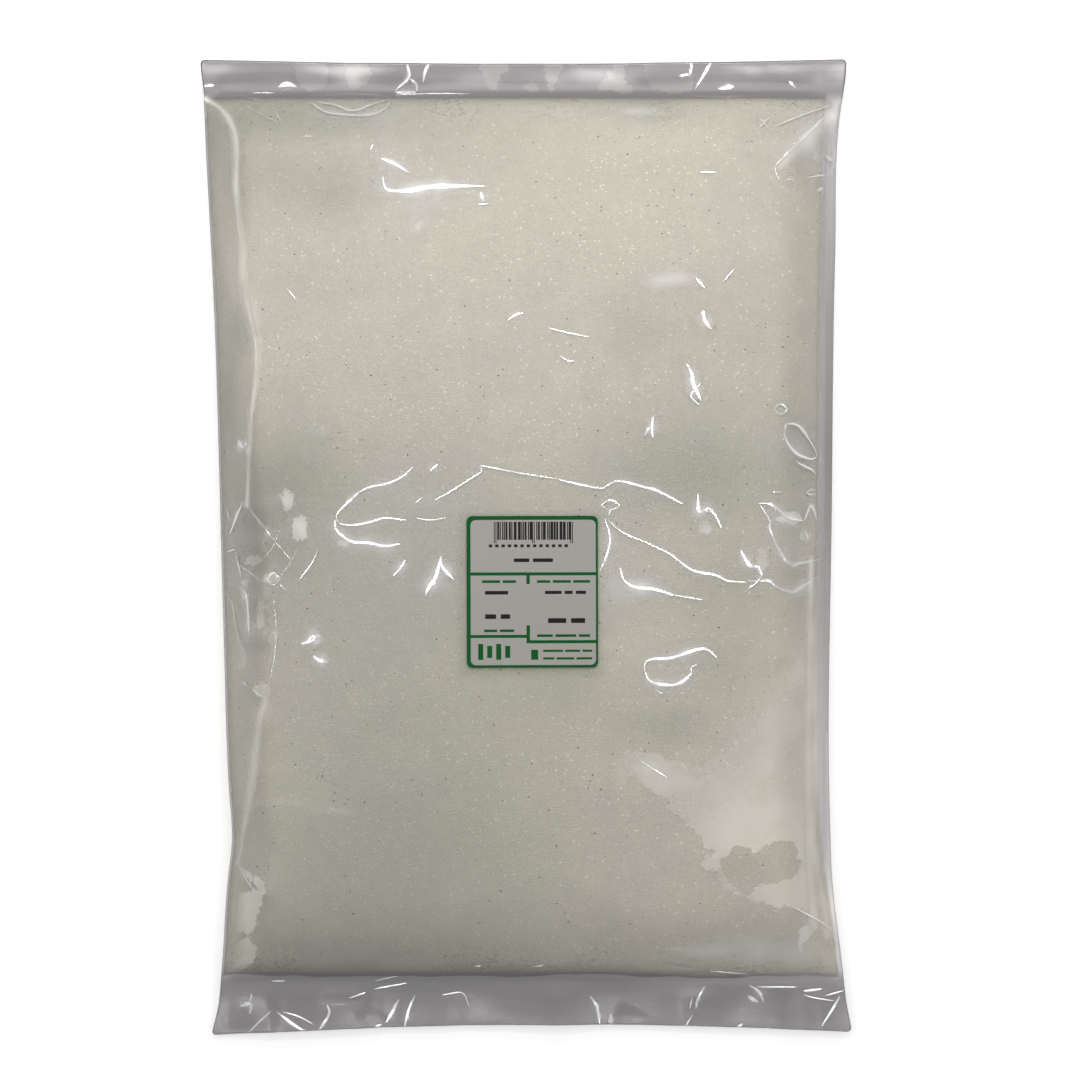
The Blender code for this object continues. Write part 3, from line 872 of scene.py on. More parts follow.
def twoSheets(columns, rows):
    # one grid twice, joined all round, as a film tube sealed at both ends is
    bm = bmesh.new()
    bmesh.ops.create_grid(bm, x_segments=columns, y_segments=rows, size=1.0)
    lifted = bmesh.ops.extrude_face_region(bm, geom=bm.faces[:], use_keep_orig=True)
    for item in lifted["geom"]:
        if isinstance(item, bmesh.types.BMVert):
            item.co.z = 1
    bm.faces.index_update()
    count = len(bm.faces)

    def order(face):
        # both sheets as they are, then the faces that join them, in turn round the outline
        x, y, z = face.calc_center_median()
        return count + math.atan2(y, x) if 0.1 < z < 0.9 else face.index

    bm.faces.sort(key=order)
    return bm


def gridPlaces(bm):
    places = np.array([v.co for v in bm.verts])
    return places[:, 0], (places[:, 1] + 1) / 2, places[:, 2] > 0.5


def upperFaces(bm):
    return [f for f in bm.faces if all(v.co.z > 0.5 for v in f.verts)]


def refine(bm, faces):
    edges = list(dict.fromkeys(e for f in faces for e in f.edges))
    bmesh.ops.subdivide_edges(bm, edges=edges, cuts=1, use_grid_fill=True)


def asPiece(name, mesh):
    piece = bpy.data.objects.new(name, mesh)
    bpy.context.scene.collection.objects.link(piece)
    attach(piece, "root")
    mesh.calc_loop_triangles()
    print(name, "triangles:", len(mesh.loop_triangles))
    return piece


def finished(name, bm, material, closed=False):
    # the mesh as a piece of the object, smooth and facing out
    if closed:
        bmesh.ops.recalc_face_normals(bm, faces=bm.faces)
    mesh = bpy.data.meshes.new(name)
    bm.to_mesh(mesh)
    bm.free()
    mesh.shade_smooth()
    mesh.materials.append(material)
    return asPiece(name, mesh)


def moveAll(bm, x, y, z):
    for v, px, py, pz in zip(bm.verts, x.tolist(), y.tolist(), z.tolist()):
        v.co = (px, py, pz)


def setAttributes(piece, fields):
    for name, values in fields.items():
        attribute = piece.data.attributes.new(name, "FLOAT", "POINT")
        attribute.data.foreach_set("value", values.astype(np.float32))


# Materials

def link(tree, start, end):
    tree.links.new(start, end)


def setInputs(tree, node, values):
    # each value is a constant or another node's socket
    for key, value in values.items():
        if isinstance(value, bpy.types.NodeSocket):
            link(tree, value, node.inputs[key])
        else:
            node.inputs[key].default_value = value


def addNode(tree, kind, values=None, **settings):
    node = tree.nodes.new(kind)
    for key, value in settings.items():
        setattr(node, key, value)
    setInputs(tree, node, values or {})
    return node


def newMaterial(name):
    material = bpy.data.materials.new(name)
    material.use_nodes = True
    return material, material.node_tree, material.node_tree.nodes["Principled BSDF"]


def attribute(tree, name):
    return addNode(tree, "ShaderNodeAttribute", attribute_name=name).outputs["Fac"]


def calculated(tree, operation, *values):
    # a number worked out from constants and sockets
    return addNode(tree, "ShaderNodeMath", dict(enumerate(values)), operation=operation).outputs[0]


def ranged(tree, value, low, high, start=0.0, end=1.0):
    # the value from low to high as one from start to end
    sizes = {"From Min": low, "From Max": high, "To Min": start, "To Max": end}
    return addNode(tree, "ShaderNodeMapRange", {"Value": value, **sizes}).outputs["Result"]


def mixedColour(tree, factor, first, second):
    values = {"Factor": factor, "A": first, "B": second}
    return addNode(tree, "ShaderNodeMix", values, data_type="RGBA", blend_type="MIX").outputs["Result"]


def newGroup(name, inputs, outputs):
    group = bpy.data.node_groups.new(name, "ShaderNodeTree")
    for socketName, kind, value in inputs:
        socket = group.interface.new_socket(name=socketName, in_out="INPUT", socket_type=kind)
        if value is not None:
            socket.default_value = value
    for socketName, kind in outputs:
        group.interface.new_socket(name=socketName, in_out="OUTPUT", socket_type=kind)
    return group, group.nodes.new("NodeGroupInput"), group.nodes.new("NodeGroupOutput")


def grainGroup():
    # grains as cells of one size: a value that differs from grain to grain, and their rounded height
    group, given, made = newGroup(
        "grains",
        [("Vector", "NodeSocketVector", None), ("Grain Size", "NodeSocketFloat", 0.0005)],
        [("Random", "NodeSocketFloat"), ("Height", "NodeSocketFloat")],
    )
    cells = addNode(group, "ShaderNodeTexVoronoi", {
        "Vector": given.outputs["Vector"],
        "Scale": calculated(group, "DIVIDE", 1.0, given.outputs["Grain Size"]),
        "Randomness": 1.0,
    })
    parts = addNode(group, "ShaderNodeSeparateColor", {"Color": cells.outputs["Color"]})
    link(group, parts.outputs["Red"], made.inputs["Random"])
    link(group, ranged(group, cells.outputs["Distance"], 0.0, 0.6, 1.0, 0.0), made.inputs["Height"])
    return group


def unevenColourGroup():
    # a colour made a little lighter and darker from place to place
    group, given, made = newGroup(
        "unevenColour",
        [
            ("Vector", "NodeSocketVector", None),
            ("Colour", "NodeSocketColor", (0.5, 0.5, 0.5, 1)),
            ("Patch Size", "NodeSocketFloat", 0.001),
            ("Amount", "NodeSocketFloat", 0.1),
            ("Detail", "NodeSocketFloat", 3.0),
        ],
        [("Colour", "NodeSocketColor"), ("Value", "NodeSocketFloat")],
    )
    noise = addNode(group, "ShaderNodeTexNoise", {
        "Vector": given.outputs["Vector"],
        "Scale": calculated(group, "DIVIDE", 1.0, given.outputs["Patch Size"]),
        "Detail": given.outputs["Detail"],
        "Roughness": 0.6,
    })
    centred = calculated(group, "SUBTRACT", noise.outputs["Fac"], 0.5)
    gain = calculated(group, "MULTIPLY_ADD", centred, given.outputs["Amount"], 1.0)
    scaled = addNode(group, "ShaderNodeVectorMath", {
        0: given.outputs["Colour"],
        "Scale": gain,
    }, operation="SCALE")
    link(group, scaled.outputs[0], made.inputs["Colour"])
    link(group, noise.outputs["Fac"], made.inputs["Value"])
    return group


grains = grainGroup()
unevenColour = unevenColourGroup()


def placeGroup(tree, group, values):
    coordinates = addNode(tree, "ShaderNodeTexCoord")
    values = {"Vector": coordinates.outputs["Object"], **values}
    return addNode(tree, "ShaderNodeGroup", values, node_tree=group)


def addRelief(tree, body, height, strength, distance):
    bump = addNode(tree, "ShaderNodeBump", {"Strength": strength, "Distance": distance, "Height": height})
    link(tree, bump.outputs["Normal"], body.inputs["Normal"])


def partlyClear(tree, body, share, tint):
    # the surface shows by that share, and what lies behind it by the rest
    clear = addNode(tree, "ShaderNodeBsdfTransparent", {"Color": tint})
    mixed = addNode(tree, "ShaderNodeMixShader", {0: share, 1: clear.outputs[0], 2: body.outputs[0]})
    link(tree, mixed.outputs[0], tree.nodes["Material Output"].inputs["Surface"])


filmLook = {
    "contact": (0.40, 0.385, 0.375, 1),         # the film's own colour where it lies on the sugar
    "colours": {                                # and in this order over it
        "loose": (0.63, 0.605, 0.625, 1),       # where it stands off a little
        "sealed": (0.232, 0.212, 0.224, 1),     # where both sheets lie together
        "fin": (0.345, 0.33, 0.325, 1),         # in the fins at the sides
        "seam": (0.17, 0.17, 0.165, 1),         # painted shade along the ends of the sugar
        "band": (0.37, 0.34, 0.36, 1),          # in the lighter part of the top seal
        "milky": (1.0, 0.97, 0.89, 1),          # in the patches with sharp edges, partly painted reflection, and along the strokes, painted light
        "glow": (0.99, 0.98, 0.99, 1),          # painted sheen beside sharp folds and in the clouds
    },
    "wall": (0.66, 0.635, 0.645, 1),            # in the lighter parts of the fins, painted light on the steep wall inside each
    "tintContact": (0.945, 0.943, 0.940, 1),
    "tintMilky": (0.99, 0.985, 0.98, 1),
    "shareContact": 0.08,       # share of the film's own look where it lies on the sugar
    "shares": {                 # and what is added to it
        "loose": 0.20,
        "milky": 0.29,
        "glow": 0.42,
        "fin": 0.45,
        "seam": 0.50,
        "drawn": 0.16,          # where it is drawn smooth
        "sealed": 0.37,
        "edgeOn": 0.15,         # where it is seen edge on
    },
    "bandShare": 0.19,          # how light the lighter part of the top seal is
    "roughContact": 0.42,
    "roughDrawn": 0.14,
    "roughSeam": 0.40,          # added along the ends of the sugar
    "ior": 1.9,
    "tornSize": 0.0022,         # unevenness of the patches' edges, its amount, and where they start
    "tornAmount": 1.1,
    "tornEdge": (0.50, 0.62),
    "handledSize": 0.005,       # slight waves from handling, their strength and depth
    "handled": (0.12, 0.0004),
}
foldLook = {
    "colour": (0.95, 0.94, 0.94, 1),
    "share": 0.66,
    "roughness": 0.11,
    "ior": 2.6,
}


def foldMaterial():
    # the bright flanks of sharp folds, clear at their feet; their near white colour is a painted highlight
    # beside the lamps they mirror
    look = foldLook
    material, tree, body = newMaterial("sharpFold")
    values = {"Patch Size": 0.002, "Amount": 0.3, "Colour": look["colour"]}
    uneven = placeGroup(tree, unevenColour, values)
    setInputs(tree, body, {
        "Base Color": uneven.outputs["Colour"],
        "Roughness": look["roughness"],
        "IOR": look["ior"],
    })
    share = calculated(tree, "MULTIPLY", attribute(tree, "crest"), look["share"])
    partlyClear(tree, body, share, (1, 1, 1, 1))
    return material


def filmMaterial():
    look = filmLook
    material, tree, body = newMaterial("clearFilm")
    names = ("loose", "patch", "milk", "band", "drawn", "sealed", "fin", "wall", "seam", "glow", "paintedLight")
    field = {name: attribute(tree, name) for name in names}
    torn = placeGroup(tree, unevenColour, {"Patch Size": look["tornSize"]})
    depth = calculated(tree, "MULTIPLY_ADD", torn.outputs["Value"], look["tornAmount"], field["patch"])
    patch = ranged(tree, depth, *look["tornEdge"])
    milk = calculated(tree, "MULTIPLY", patch, field["milk"])
    field["milky"] = calculated(tree, "MAXIMUM", milk, field["paintedLight"])
    field["band"] = ranged(tree, field["band"], 0.0, 0.08, 0.0, look["bandShare"])
    field["edgeOn"] = addNode(tree, "ShaderNodeLayerWeight", {"Blend": 0.3}).outputs["Facing"]
    share = look["shareContact"]
    for name, amount in look["shares"].items():
        share = calculated(tree, "MULTIPLY_ADD", field[name], amount, share)
    smoother = look["roughDrawn"] - look["roughContact"]
    rough = calculated(tree, "MULTIPLY_ADD", field["drawn"], smoother, look["roughContact"])
    rough = calculated(tree, "MULTIPLY_ADD", field["seam"], look["roughSeam"], rough)
    colour = look["contact"]
    for name, shade in look["colours"].items():
        if name == "fin":
            shade = mixedColour(tree, field["wall"], shade, look["wall"])
        colour = mixedColour(tree, field[name], colour, shade)
    setInputs(tree, body, {"Base Color": colour, "Roughness": rough, "IOR": look["ior"]})
    handled = placeGroup(tree, unevenColour, {"Patch Size": look["handledSize"], "Detail": 0.0})
    addRelief(tree, body, handled.outputs["Value"], *look["handled"])
    tint = mixedColour(tree, field["milky"], look["tintContact"], look["tintMilky"])
    partlyClear(tree, body, share, tint)
    return material


sugarLook = {
    "pale": (0.735, 0.695, 0.59, 1),
    "deep": (0.50, 0.47, 0.40, 1),
    "dense": (0.335, 0.335, 0.272, 1),    # painted shade, where less light falls
    # painted glints on single grains
    "paintedGlint": (1.0, 0.98, 0.88, 1),
    "thin": (0.29, 0.29, 0.275, 1),      # at its rim, where the dark below shows through, and painted shade in the crevice at the seals
    "grainSize": 0.00045,
    "gap": (0.20, 0.20, 0.165, 1),        # dark gaps between the grains near both seals
    "gapSize": 0.0008,
    "gapShare": 0.22,
    "deepShare": 0.30,           # how much darker the darkest grains are
    "unevenSize": 0.012,         # slow unevenness of the colour, and its amount
    "uneven": 0.16,
    "roughness": 0.55,
    "relief": (0.55, 0.0003),    # strength and depth of the grains
    "paintedGlintShare": 0.988,       # grains whose random value is above this get a painted glint
}


def sugarMaterial():
    look = sugarLook
    material, tree, body = newMaterial("packedSugar")
    cells = placeGroup(tree, grains, {"Grain Size": look["grainSize"]})
    values = {"Patch Size": look["unevenSize"], "Amount": look["uneven"], "Colour": look["pale"]}
    uneven = placeGroup(tree, unevenColour, values)
    random = cells.outputs["Random"]
    deeper = ranged(tree, random, 0.0, 1.0, 0.0, look["deepShare"])
    colour = mixedColour(tree, deeper, uneven.outputs["Colour"], look["deep"])
    # a few grains are painted as glints
    bright = calculated(tree, "GREATER_THAN", random, look["paintedGlintShare"])
    colour = mixedColour(tree, bright, colour, look["paintedGlint"])
    # painted shade where the dense attribute says
    colour = mixedColour(tree, attribute(tree, "dense"), colour, look["dense"])
    wide = placeGroup(tree, grains, {"Grain Size": look["gapSize"]})
    gap = calculated(tree, "LESS_THAN", wide.outputs["Random"], look["gapShare"])
    gap = calculated(tree, "MULTIPLY", gap, attribute(tree, "gaps"))
    colour = mixedColour(tree, gap, colour, look["gap"])
    colour = mixedColour(tree, attribute(tree, "thin"), colour, look["thin"])
    setInputs(tree, body, {"Base Color": colour, "Roughness": look["roughness"]})
    addRelief(tree, body, cells.outputs["Height"], *look["relief"])
    return material


paperLook = {
    "colour": (0.347, 0.331, 0.306, 1),
    "roughness": 0.5,
    "patch": 0.0006,
    "amount": 0.10,
    "relief": (0.2, 0.00004),
}
inkLook = {"roughness": 0.6, "patch": 0.0007, "amount": 0.35, "more": {"Specular IOR Level": 0.12}}
crystalFinish = {"colour": (0.94, 0.92, 0.85, 1), "roughness": 0.20, "patch": 0.0004, "amount": 0.15}
speckFinish = {"colour": (0.07, 0.06, 0.05, 1), "roughness": 0.6, "patch": 0.0003, "amount": 0.4}


def plainMaterial(name, colour, roughness, patch, amount, relief=None, more=None):
    # a surface of one colour with slight unevenness of that size and amount, where relief is a
    # strength and a distance
    material, tree, body = newMaterial(name)
    uneven = placeGroup(tree, unevenColour, {"Patch Size": patch, "Amount": amount, "Colour": colour})
    setInputs(tree, body, {"Base Color": uneven.outputs["Colour"], "Roughness": roughness, **(more or {})})
    if relief:
        addRelief(tree, body, uneven.outputs["Value"], *relief)
    return material


film = filmMaterial()
foldFilm = foldMaterial()
packedSugar = sugarMaterial()
paper = plainMaterial("labelPaper", **paperLook)
greenInk = plainMaterial("greenInk", (0.003, 0.088, 0.018, 1), **inkLook)
darkInk = plainMaterial("darkInk", (0.014, 0.014, 0.016, 1), **inkLook)
crystal = plainMaterial("sugarCrystal", **crystalFinish)
darkSpeck = plainMaterial("darkSpeck", **speckFinish)
print("materials made")


# The film

def curveMask(curves, reach, step=0.0006):
    # a raster of the places within reach of any of the curves
    mask = blankRaster(step)
    x, y = rasterPlaces(mask)
    cells = int(reach / step) + 1
    for curve in curves:
        for px, py in curve:
            i, j = int((py - mask["low"][1]) / step), int((px - mask["low"][0]) / step)
            rows, columns = slice(max(i - cells, 0), i + cells + 1), slice(max(j - cells, 0), j + cells + 1)
            near = np.hypot(x[rows, columns] - px, y[rows, columns] - py) < reach
            mask["values"][rows, columns] = np.maximum(mask["values"][rows, columns], near)
    return mask


def inMask(mask, x, y):
    i = ((y - mask["low"][1]) / mask["step"]).astype(int)
    j = ((x - mask["low"][0]) / mask["step"]).astype(int)
    return mask["values"][i, j] > 0


def faceMiddles(faces):
    middles = np.array([f.calc_center_median() for f in faces])
    return planPlace(middles[:, 0], (middles[:, 1] + 1) / 2)


def pastSeals(y, spare=0.0):
    return (y > sealLine["top"] - spare) | (y < sealLine["bottom"] + spare)


def sheetsTogether(x, y):
    # 1 where front and back film lie on each other, in the seals and the side fins
    left, right = sidesAt(y)
    inLeft, inRight = x - left - finWidth["left"], right - rightFin(y) - x
    sides = smoothStep(np.minimum(inLeft, inRight), -0.0006, 0.0008)
    ends = smoothStep(fromSeals(y), 0.0008, 0.0030)
    return 1 - sides * ends


def greyBand(x, y):
    # the grey look of the fins, and how light it is: on the steep wall inside each fin painted light, and
    # along the right fin by rows
    left, right = sidesAt(y)
    band, light = np.zeros_like(x), np.zeros_like(x)
    for side, inward in (("left", x - left), ("right", right - x)):
        reach, soft, amount = finLook[side]
        reach = reach * np.where(x > 0, np.interp(-y, finHeights, finShare), 1)
        band = np.maximum(band, amount * (1 - smoothStep(inward, reach - soft, reach + soft)))
        # the steep wall just inside the fin is painted lighter, painted light where it lies in shade
        steep = smoothStep(inward, finWidth[side] - 0.0004, finWidth[side] + 0.0008) * (inward < 0.01)
        light = np.maximum(light, 0.8 * steep)
    return band, np.maximum(light, np.interp(-y, finHeights, finLight) * (x > 0))


seamLook = {"low": 0.54, "lowRight": 0.08, "high": 0.42}     # how dark the painted shade at the seams is


def seamShade(x, y):
    # the painted shade of the film where the sugar ends at both seals, weaker at the bottom right
    look = seamLook
    wave = 0.0010 * unevenness(x, 0 * y - 0.05, 0.0100, 44) + 0.0004 * unevenness(x, 0 * y, 0.0036, 45)
    inLow, inHigh = y - sealLine["bottom"] - wave, sealLine["top"] - y + 0.5 * wave
    low = smoothStep(inLow, 0.0085, 0.0020) * smoothStep(inLow, -0.0085, -0.0015)
    high = smoothStep(inHigh, 0.0055, 0.0004) * smoothStep(inHigh, -0.0042, -0.0014)
    low *= look["low"] - (look["low"] - look["lowRight"]) * smoothStep(x, 0.020, 0.055)
    return np.maximum(low, look["high"] * high)


def makeFilm():
    shape = filmShape
    bm = twoSheets(shape["columns"], shape["rows"])
    refine(bm, upperFaces(bm))
    faces = upperFaces(bm)
    x, y = faceMiddles(faces)
    routes = {
        shape["softNear"]: [curve for seed, kind, curve in creasesOf("soft")],
        shape["patchNear"]: patchEdges,
        shape["foldNear"]: [curve for seed, kind, curve in creasesOf("bold", "sharp")],
    }
    wanted = pastSeals(y, 0.003) | (crumpleLift(x, y) > shape["crumpledFrom"])
    for reach, curves in routes.items():
        wanted |= inMask(curveMask(curves, reach), x, y)
    refine(bm, [f for f, take in zip(faces, wanted) if take])
    across, along, upper = gridPlaces(bm)
    x, y = planPlace(across, along)
    front, back = readRaster(frontRaster, x, y), readRaster(backRaster, x, y)
    middle = (front + back) / 2 + sealFacets(x, y)
    half = np.maximum((front - back) / 2 - shape["insideSolid"], shape["rimHalf"])
    filled = filledShare(x, y)
    lift, drawn = softCreases(x, y)
    lift += crumpleLift(x, y)
    middle += lift * (1 - filled)
    z = np.where(upper, middle + half + unevenSugar(x, y) + lift * filled, middle - half)
    moveAll(bm, x, y, z)
    piece = finished("film", bm, film, closed=True)
    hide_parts("bag")
    together = sheetsTogether(x, y)
    atSide = smoothStep(fromSeals(y), -0.001, 0.003)
    bent = np.exp(-((np.minimum(np.abs(y - sealLine["top"]), np.abs(y - sealLine["bottom"])) / 0.0022) ** 2))
    drift = swells(x, y, shape["looseDrift"])
    # painted sheen beside the folds and in the clouds
    paintedCloudSheen = shape["cloudSheen"] * spread(paintedSheenClouds, x, y)
    sheen = np.clip(np.maximum(foldGlow(x, y), paintedCloudSheen), 0, 1) * filled
    depth, milk = patchDepth(x, y)
    drawn = np.maximum(drawn, crumpleGloss(x, y) * filled)
    glossy = shape["sealGloss"] * together * (1 - 0.9 * bent) * (1 - 0.95 * atSide)
    band, wall = greyBand(x, y)
    setAttributes(piece, {
        "loose": np.where(upper, 0.6 * smoothStep(drift, -0.2, 1.2) * filled, 0),
        "patch": np.where(upper, depth, -1),
        "milk": milk * np.where(atSide > 0.5, filled, shape["sealMilk"]),
        "band": np.where(upper, sealBand(x, y), -1),
        "glow": np.where(upper, sheen, 0),
        "drawn": np.maximum(drawn, glossy),
        "sealed": together * (1 - 0.5 * atSide) * np.where(y > 0, shape["topSealed"], 1),
        "fin": band * atSide,
        "wall": wall,
        "seam": np.where(upper, seamShade(x, y), 0),
        # painted light of the soft strokes
        "paintedLight": np.where(upper, paintedLightShare(x, y), 0),
    })


foldSection = (          # a fold's section: place in flank widths, height and how visible it is there
    (0.80, 0.00, 0.0), (0.55, 0.00, 0.15), (0.40, 0.10, 0.45), (0.15, 0.35, 1.0), (-0.15, 0.65, 1.0),
    (-0.40, 0.90, 0.5), (-0.60, 1.00, 0.12), (-1.30, 0.70, 0.0), (-2.60, 0.00, 0.0),
)
foldOverFilm = 0.00003


def keptInside(spots, rim=0.0003):
    # the same points, none of them beyond the film's outline
    x, y = spots.T
    left, right = sidesAt(y)
    x = np.clip(x, left + rim, right - rim)
    low, high = endsAt(x)
    return np.column_stack([x, np.clip(y, low + rim, high - rim)])


def makeFolds():
    # every sharp crease as a narrow ribbon that rises out of the film and falls back into it
    bm = bmesh.new()
    crest = bm.verts.layers.float.new("crest")
    for seed, kind, curve in creasesOf(*foldWidths):
        wide = foldWidths[kind] * alongCrease(curve, seed, (0.65, 1.2))
        steep = flankSlopes(curve)[0]
        facing = leftOf(curve)
        columns = []
        for place, height, visible in foldSection:
            spots = keptInside(curve + facing * (place * wide)[:, None])
            z = filmSurface(*spots.T) + crumpleLift(*spots.T) + foldOverFilm + height * steep * wide
            shown = visible * (1 - underLabel(*spots.T)) * (0.55 if kind == "faint" else 1)
            column = [bm.verts.new((*spot, up)) for spot, up in zip(spots, z)]
            for v, amount in zip(column, shown):
                v[crest] = amount
            columns.append(column)
        for one, other in zip(columns, columns[1:]):
            for a, b, c, d in zip(one, one[1:], other[1:], other):
                bm.faces.new((a, d, c, b))
    finished("folds", bm, foldFilm)


makeFilm()
makeFolds()


# The sugar

sugarShape = {
    "columns": 92,
    "rows": 132,
    "underFilm": 0.00048,    # space between the sugar and the film, less where the bag is thin
    "lumps": ((0.0030, 0.00003, 32),),
    "edgeWave": ((0.0110, 0.0006, 41), (0.0042, 0.0004, 42)),
}


def edgeWave(across, y):
    edgeX = across * 0.097
    return swells(edgeX, np.full_like(edgeX, y), sugarShape["edgeWave"])


def sugarPlace(across, along):
    # the sugar ends in an uneven line at each seal and just inside the fins
    low = sealLine["bottom"] + 0.0006 + edgeWave(across, -0.1)
    high = sealLine["top"] - 0.0008 + 0.5 * edgeWave(across, 0.1)
    y = low + along * (high - low)
    left, right = sidesAt(y)
    left, right = left + finWidth["left"] + 0.0003, right - rightFin(y) - 0.0003
    return left + (across + 1) / 2 * (right - left), y


def labelShadow(x, y):
    # the sugar is darker beside the label's lower and left edges, where less light gets in
    across, up = labelPlace(x + 0.0005, y + 0.0008)
    outX, outY = np.abs(across) - label["width"] / 2, np.abs(up) - label["height"] / 2
    away = np.hypot(np.clip(outX, 0, None), np.clip(outY, 0, None))
    return 0.30 * np.exp(-((away / 0.0022) ** 2))


def makeSugar():
    shape = sugarShape
    bm = twoSheets(shape["columns"], shape["rows"])
    refine(bm, upperFaces(bm))
    across, along, upper = gridPlaces(bm)
    x, y = sugarPlace(across, along)
    front, back = readRaster(frontRaster, x, y), readRaster(backRaster, x, y)
    middle, half = (front + back) / 2, (front - back) / 2 - filmShape["insideSolid"]
    inside = np.maximum(half - np.minimum(shape["underFilm"], 0.4 * half), 0.00003)
    lumps = swells(x, y, shape["lumps"]) * smoothStep(half, 0.0010, 0.0040) + unevenSugar(x, y)
    z = np.where(upper, middle + inside + lumps, middle - inside)
    moveAll(bm, x, y, z)
    piece = finished("sugar", bm, packedSugar, closed=True)
    fromEnd = fromSeals(y)
    nearSeal = np.exp(-(((fromEnd - 0.003) / 0.009) ** 2))
    # the rim at the seals is darker: thin sugar, and partly painted shade
    rim = 1 - smoothStep(fromEnd, 0.0005, 0.0055)
    rim = 0.10 + 0.80 * rim * (1 - 0.7 * smoothStep(x, 0.02, 0.06) * (y < 0) - 0.5 * (y > 0))
    # dense holds painted shade: the listed areas and a painted shadow beside the label
    setAttributes(piece, {
        "thin": (1 - smoothStep(half, 0.0004, 0.0030)) * rim,
        "dense": np.clip(0.05 + spread(paintedShades, x, y) + labelShadow(x, y), 0, 0.9),
        "gaps": 0.45 * nearSeal * smoothStep(unevenness(x, y, 0.006, 46), -1.0, 0.8),
    })
    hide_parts("bag")
    return piece


sugarPiece = makeSugar()


# Loose crystals and dark specks

crystalLook = {
    "size": (0.00014, 0.00023),
    "perSquareMetre": 120000.0,
    "seed": 7,
}
speckLook = {
    "size": (0.00022, 0.00046),
    "perSquareMetre": 8000.0,
    "seed": 11,
}


def scatterTree(name, material):
    # small blocks strewn over the upward faces of a mesh, half sunk in it, as one plain mesh
    tree = bpy.data.node_groups.new(name, "GeometryNodeTree")
    face = tree.interface
    face.new_socket(name="Geometry", in_out="INPUT", socket_type="NodeSocketGeometry")
    for socketName, value in (("Density", 1000.0), ("Smallest", 0.0003), ("Largest", 0.0006)):
        face.new_socket(name=socketName, in_out="INPUT", socket_type="NodeSocketFloat").default_value = value
    face.new_socket(name="Seed", in_out="INPUT", socket_type="NodeSocketInt")
    face.new_socket(name="Geometry", in_out="OUTPUT", socket_type="NodeSocketGeometry")
    given, made = tree.nodes.new("NodeGroupInput"), tree.nodes.new("NodeGroupOutput")
    seed = given.outputs["Seed"]
    normal = addNode(tree, "GeometryNodeInputNormal")
    parts = addNode(tree, "ShaderNodeSeparateXYZ", {0: normal.outputs[0]})
    upward = addNode(tree, "FunctionNodeCompare", {0: parts.outputs["Z"], 1: 0.55}, operation="GREATER_THAN")
    strewn = addNode(tree, "GeometryNodeDistributePointsOnFaces", {
        "Mesh": given.outputs["Geometry"],
        "Selection": upward.outputs[0],
        "Density": given.outputs["Density"],
        "Seed": seed,
    })
    sizes = {"Min": given.outputs["Smallest"], "Max": given.outputs["Largest"], "Seed": seed}
    size = addNode(tree, "FunctionNodeRandomValue", sizes, data_type="FLOAT_VECTOR")
    turns = {"Max": (math.tau, math.tau, math.tau), "Seed": seed}
    turned = addNode(tree, "FunctionNodeRandomValue", turns, data_type="FLOAT_VECTOR")
    block = addNode(tree, "GeometryNodeMeshCube", {"Size": (1.0, 0.8, 0.7)})
    stood = addNode(tree, "GeometryNodeInstanceOnPoints", {
        "Points": strewn.outputs["Points"],
        "Instance": block.outputs["Mesh"],
        "Rotation": turned.outputs["Value"],
        "Scale": size.outputs["Value"],
    })
    realized = addNode(tree, "GeometryNodeRealizeInstances", {"Geometry": stood.outputs["Instances"]})
    dressed = addNode(tree, "GeometryNodeSetMaterial", {
        "Geometry": realized.outputs["Geometry"],
        "Material": material,
    })
    link(tree, dressed.outputs["Geometry"], made.inputs["Geometry"])
    return tree


def strew(name, look, material):
    ground = bpy.data.objects.new(name + "Ground", sugarPiece.data)
    bpy.context.scene.collection.objects.link(ground)
    tree = scatterTree(name, material)
    modifier = ground.modifiers.new(name, "NODES")
    modifier.node_group = tree
    values = {
        "Density": look["perSquareMetre"],
        "Smallest": look["size"][0],
        "Largest": look["size"][1],
        "Seed": look["seed"],
    }
    for item in tree.interface.items_tree:
        if item.in_out == "INPUT" and item.name in values:
            modifier[item.identifier] = values[item.name]
    graph = bpy.context.evaluated_depsgraph_get()
    mesh = bpy.data.meshes.new_from_object(ground.evaluated_get(graph), depsgraph=graph)
    bpy.data.objects.remove(ground)
    mesh.name = name
    if not mesh.materials:
        mesh.materials.append(material)
    asPiece(name, mesh)


strew("crystals", crystalLook, crystal)
strew("specks", speckLook, darkSpeck)


# The label

def labelHeight(across, up):
    x, y = labelToBag(across, up)
    return x, y, plainFront(x, y) - filmShape["insideSolid"] + label["overFilm"]


def makeLabelPaper():
    # a rounded sheet that follows the crown
    columns, rows = 40, 46
    bm = bmesh.new()
    bmesh.ops.create_grid(bm, x_segments=columns, y_segments=rows, size=1.0)
    places = np.array([v.co for v in bm.verts])
    across, up = places[:, 0] * label["width"] / 2, places[:, 1] * label["height"] / 2
    fromSide, fromEnd = label["width"] / 2 - np.abs(across), label["height"] / 2 - np.abs(up)
    inX, inY = cornerShift(fromSide, fromEnd, label["corner"])
    moveAll(bm, *labelHeight(across - np.sign(across) * inX, up - np.sign(up) * inY))
    piece = finished("labelPaper", bm, paper)
    thickness = piece.modifiers.new("thickness", "SOLIDIFY")
    thickness.thickness = label["thickness"]
    thickness.offset = 1
    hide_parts("label")


labelPixels = {"left": 466.7, "right": 597.9, "top": 516.2, "bottom": 667.9}   # its outline in the photograph


def labelPixel(px, py):
    # label coordinates of a pixel of the photograph
    p = labelPixels
    across = ((px - p["left"]) / (p["right"] - p["left"]) - 0.5) * label["width"]
    up = (0.5 - (py - p["top"]) / (p["bottom"] - p["top"])) * label["height"]
    return across, up


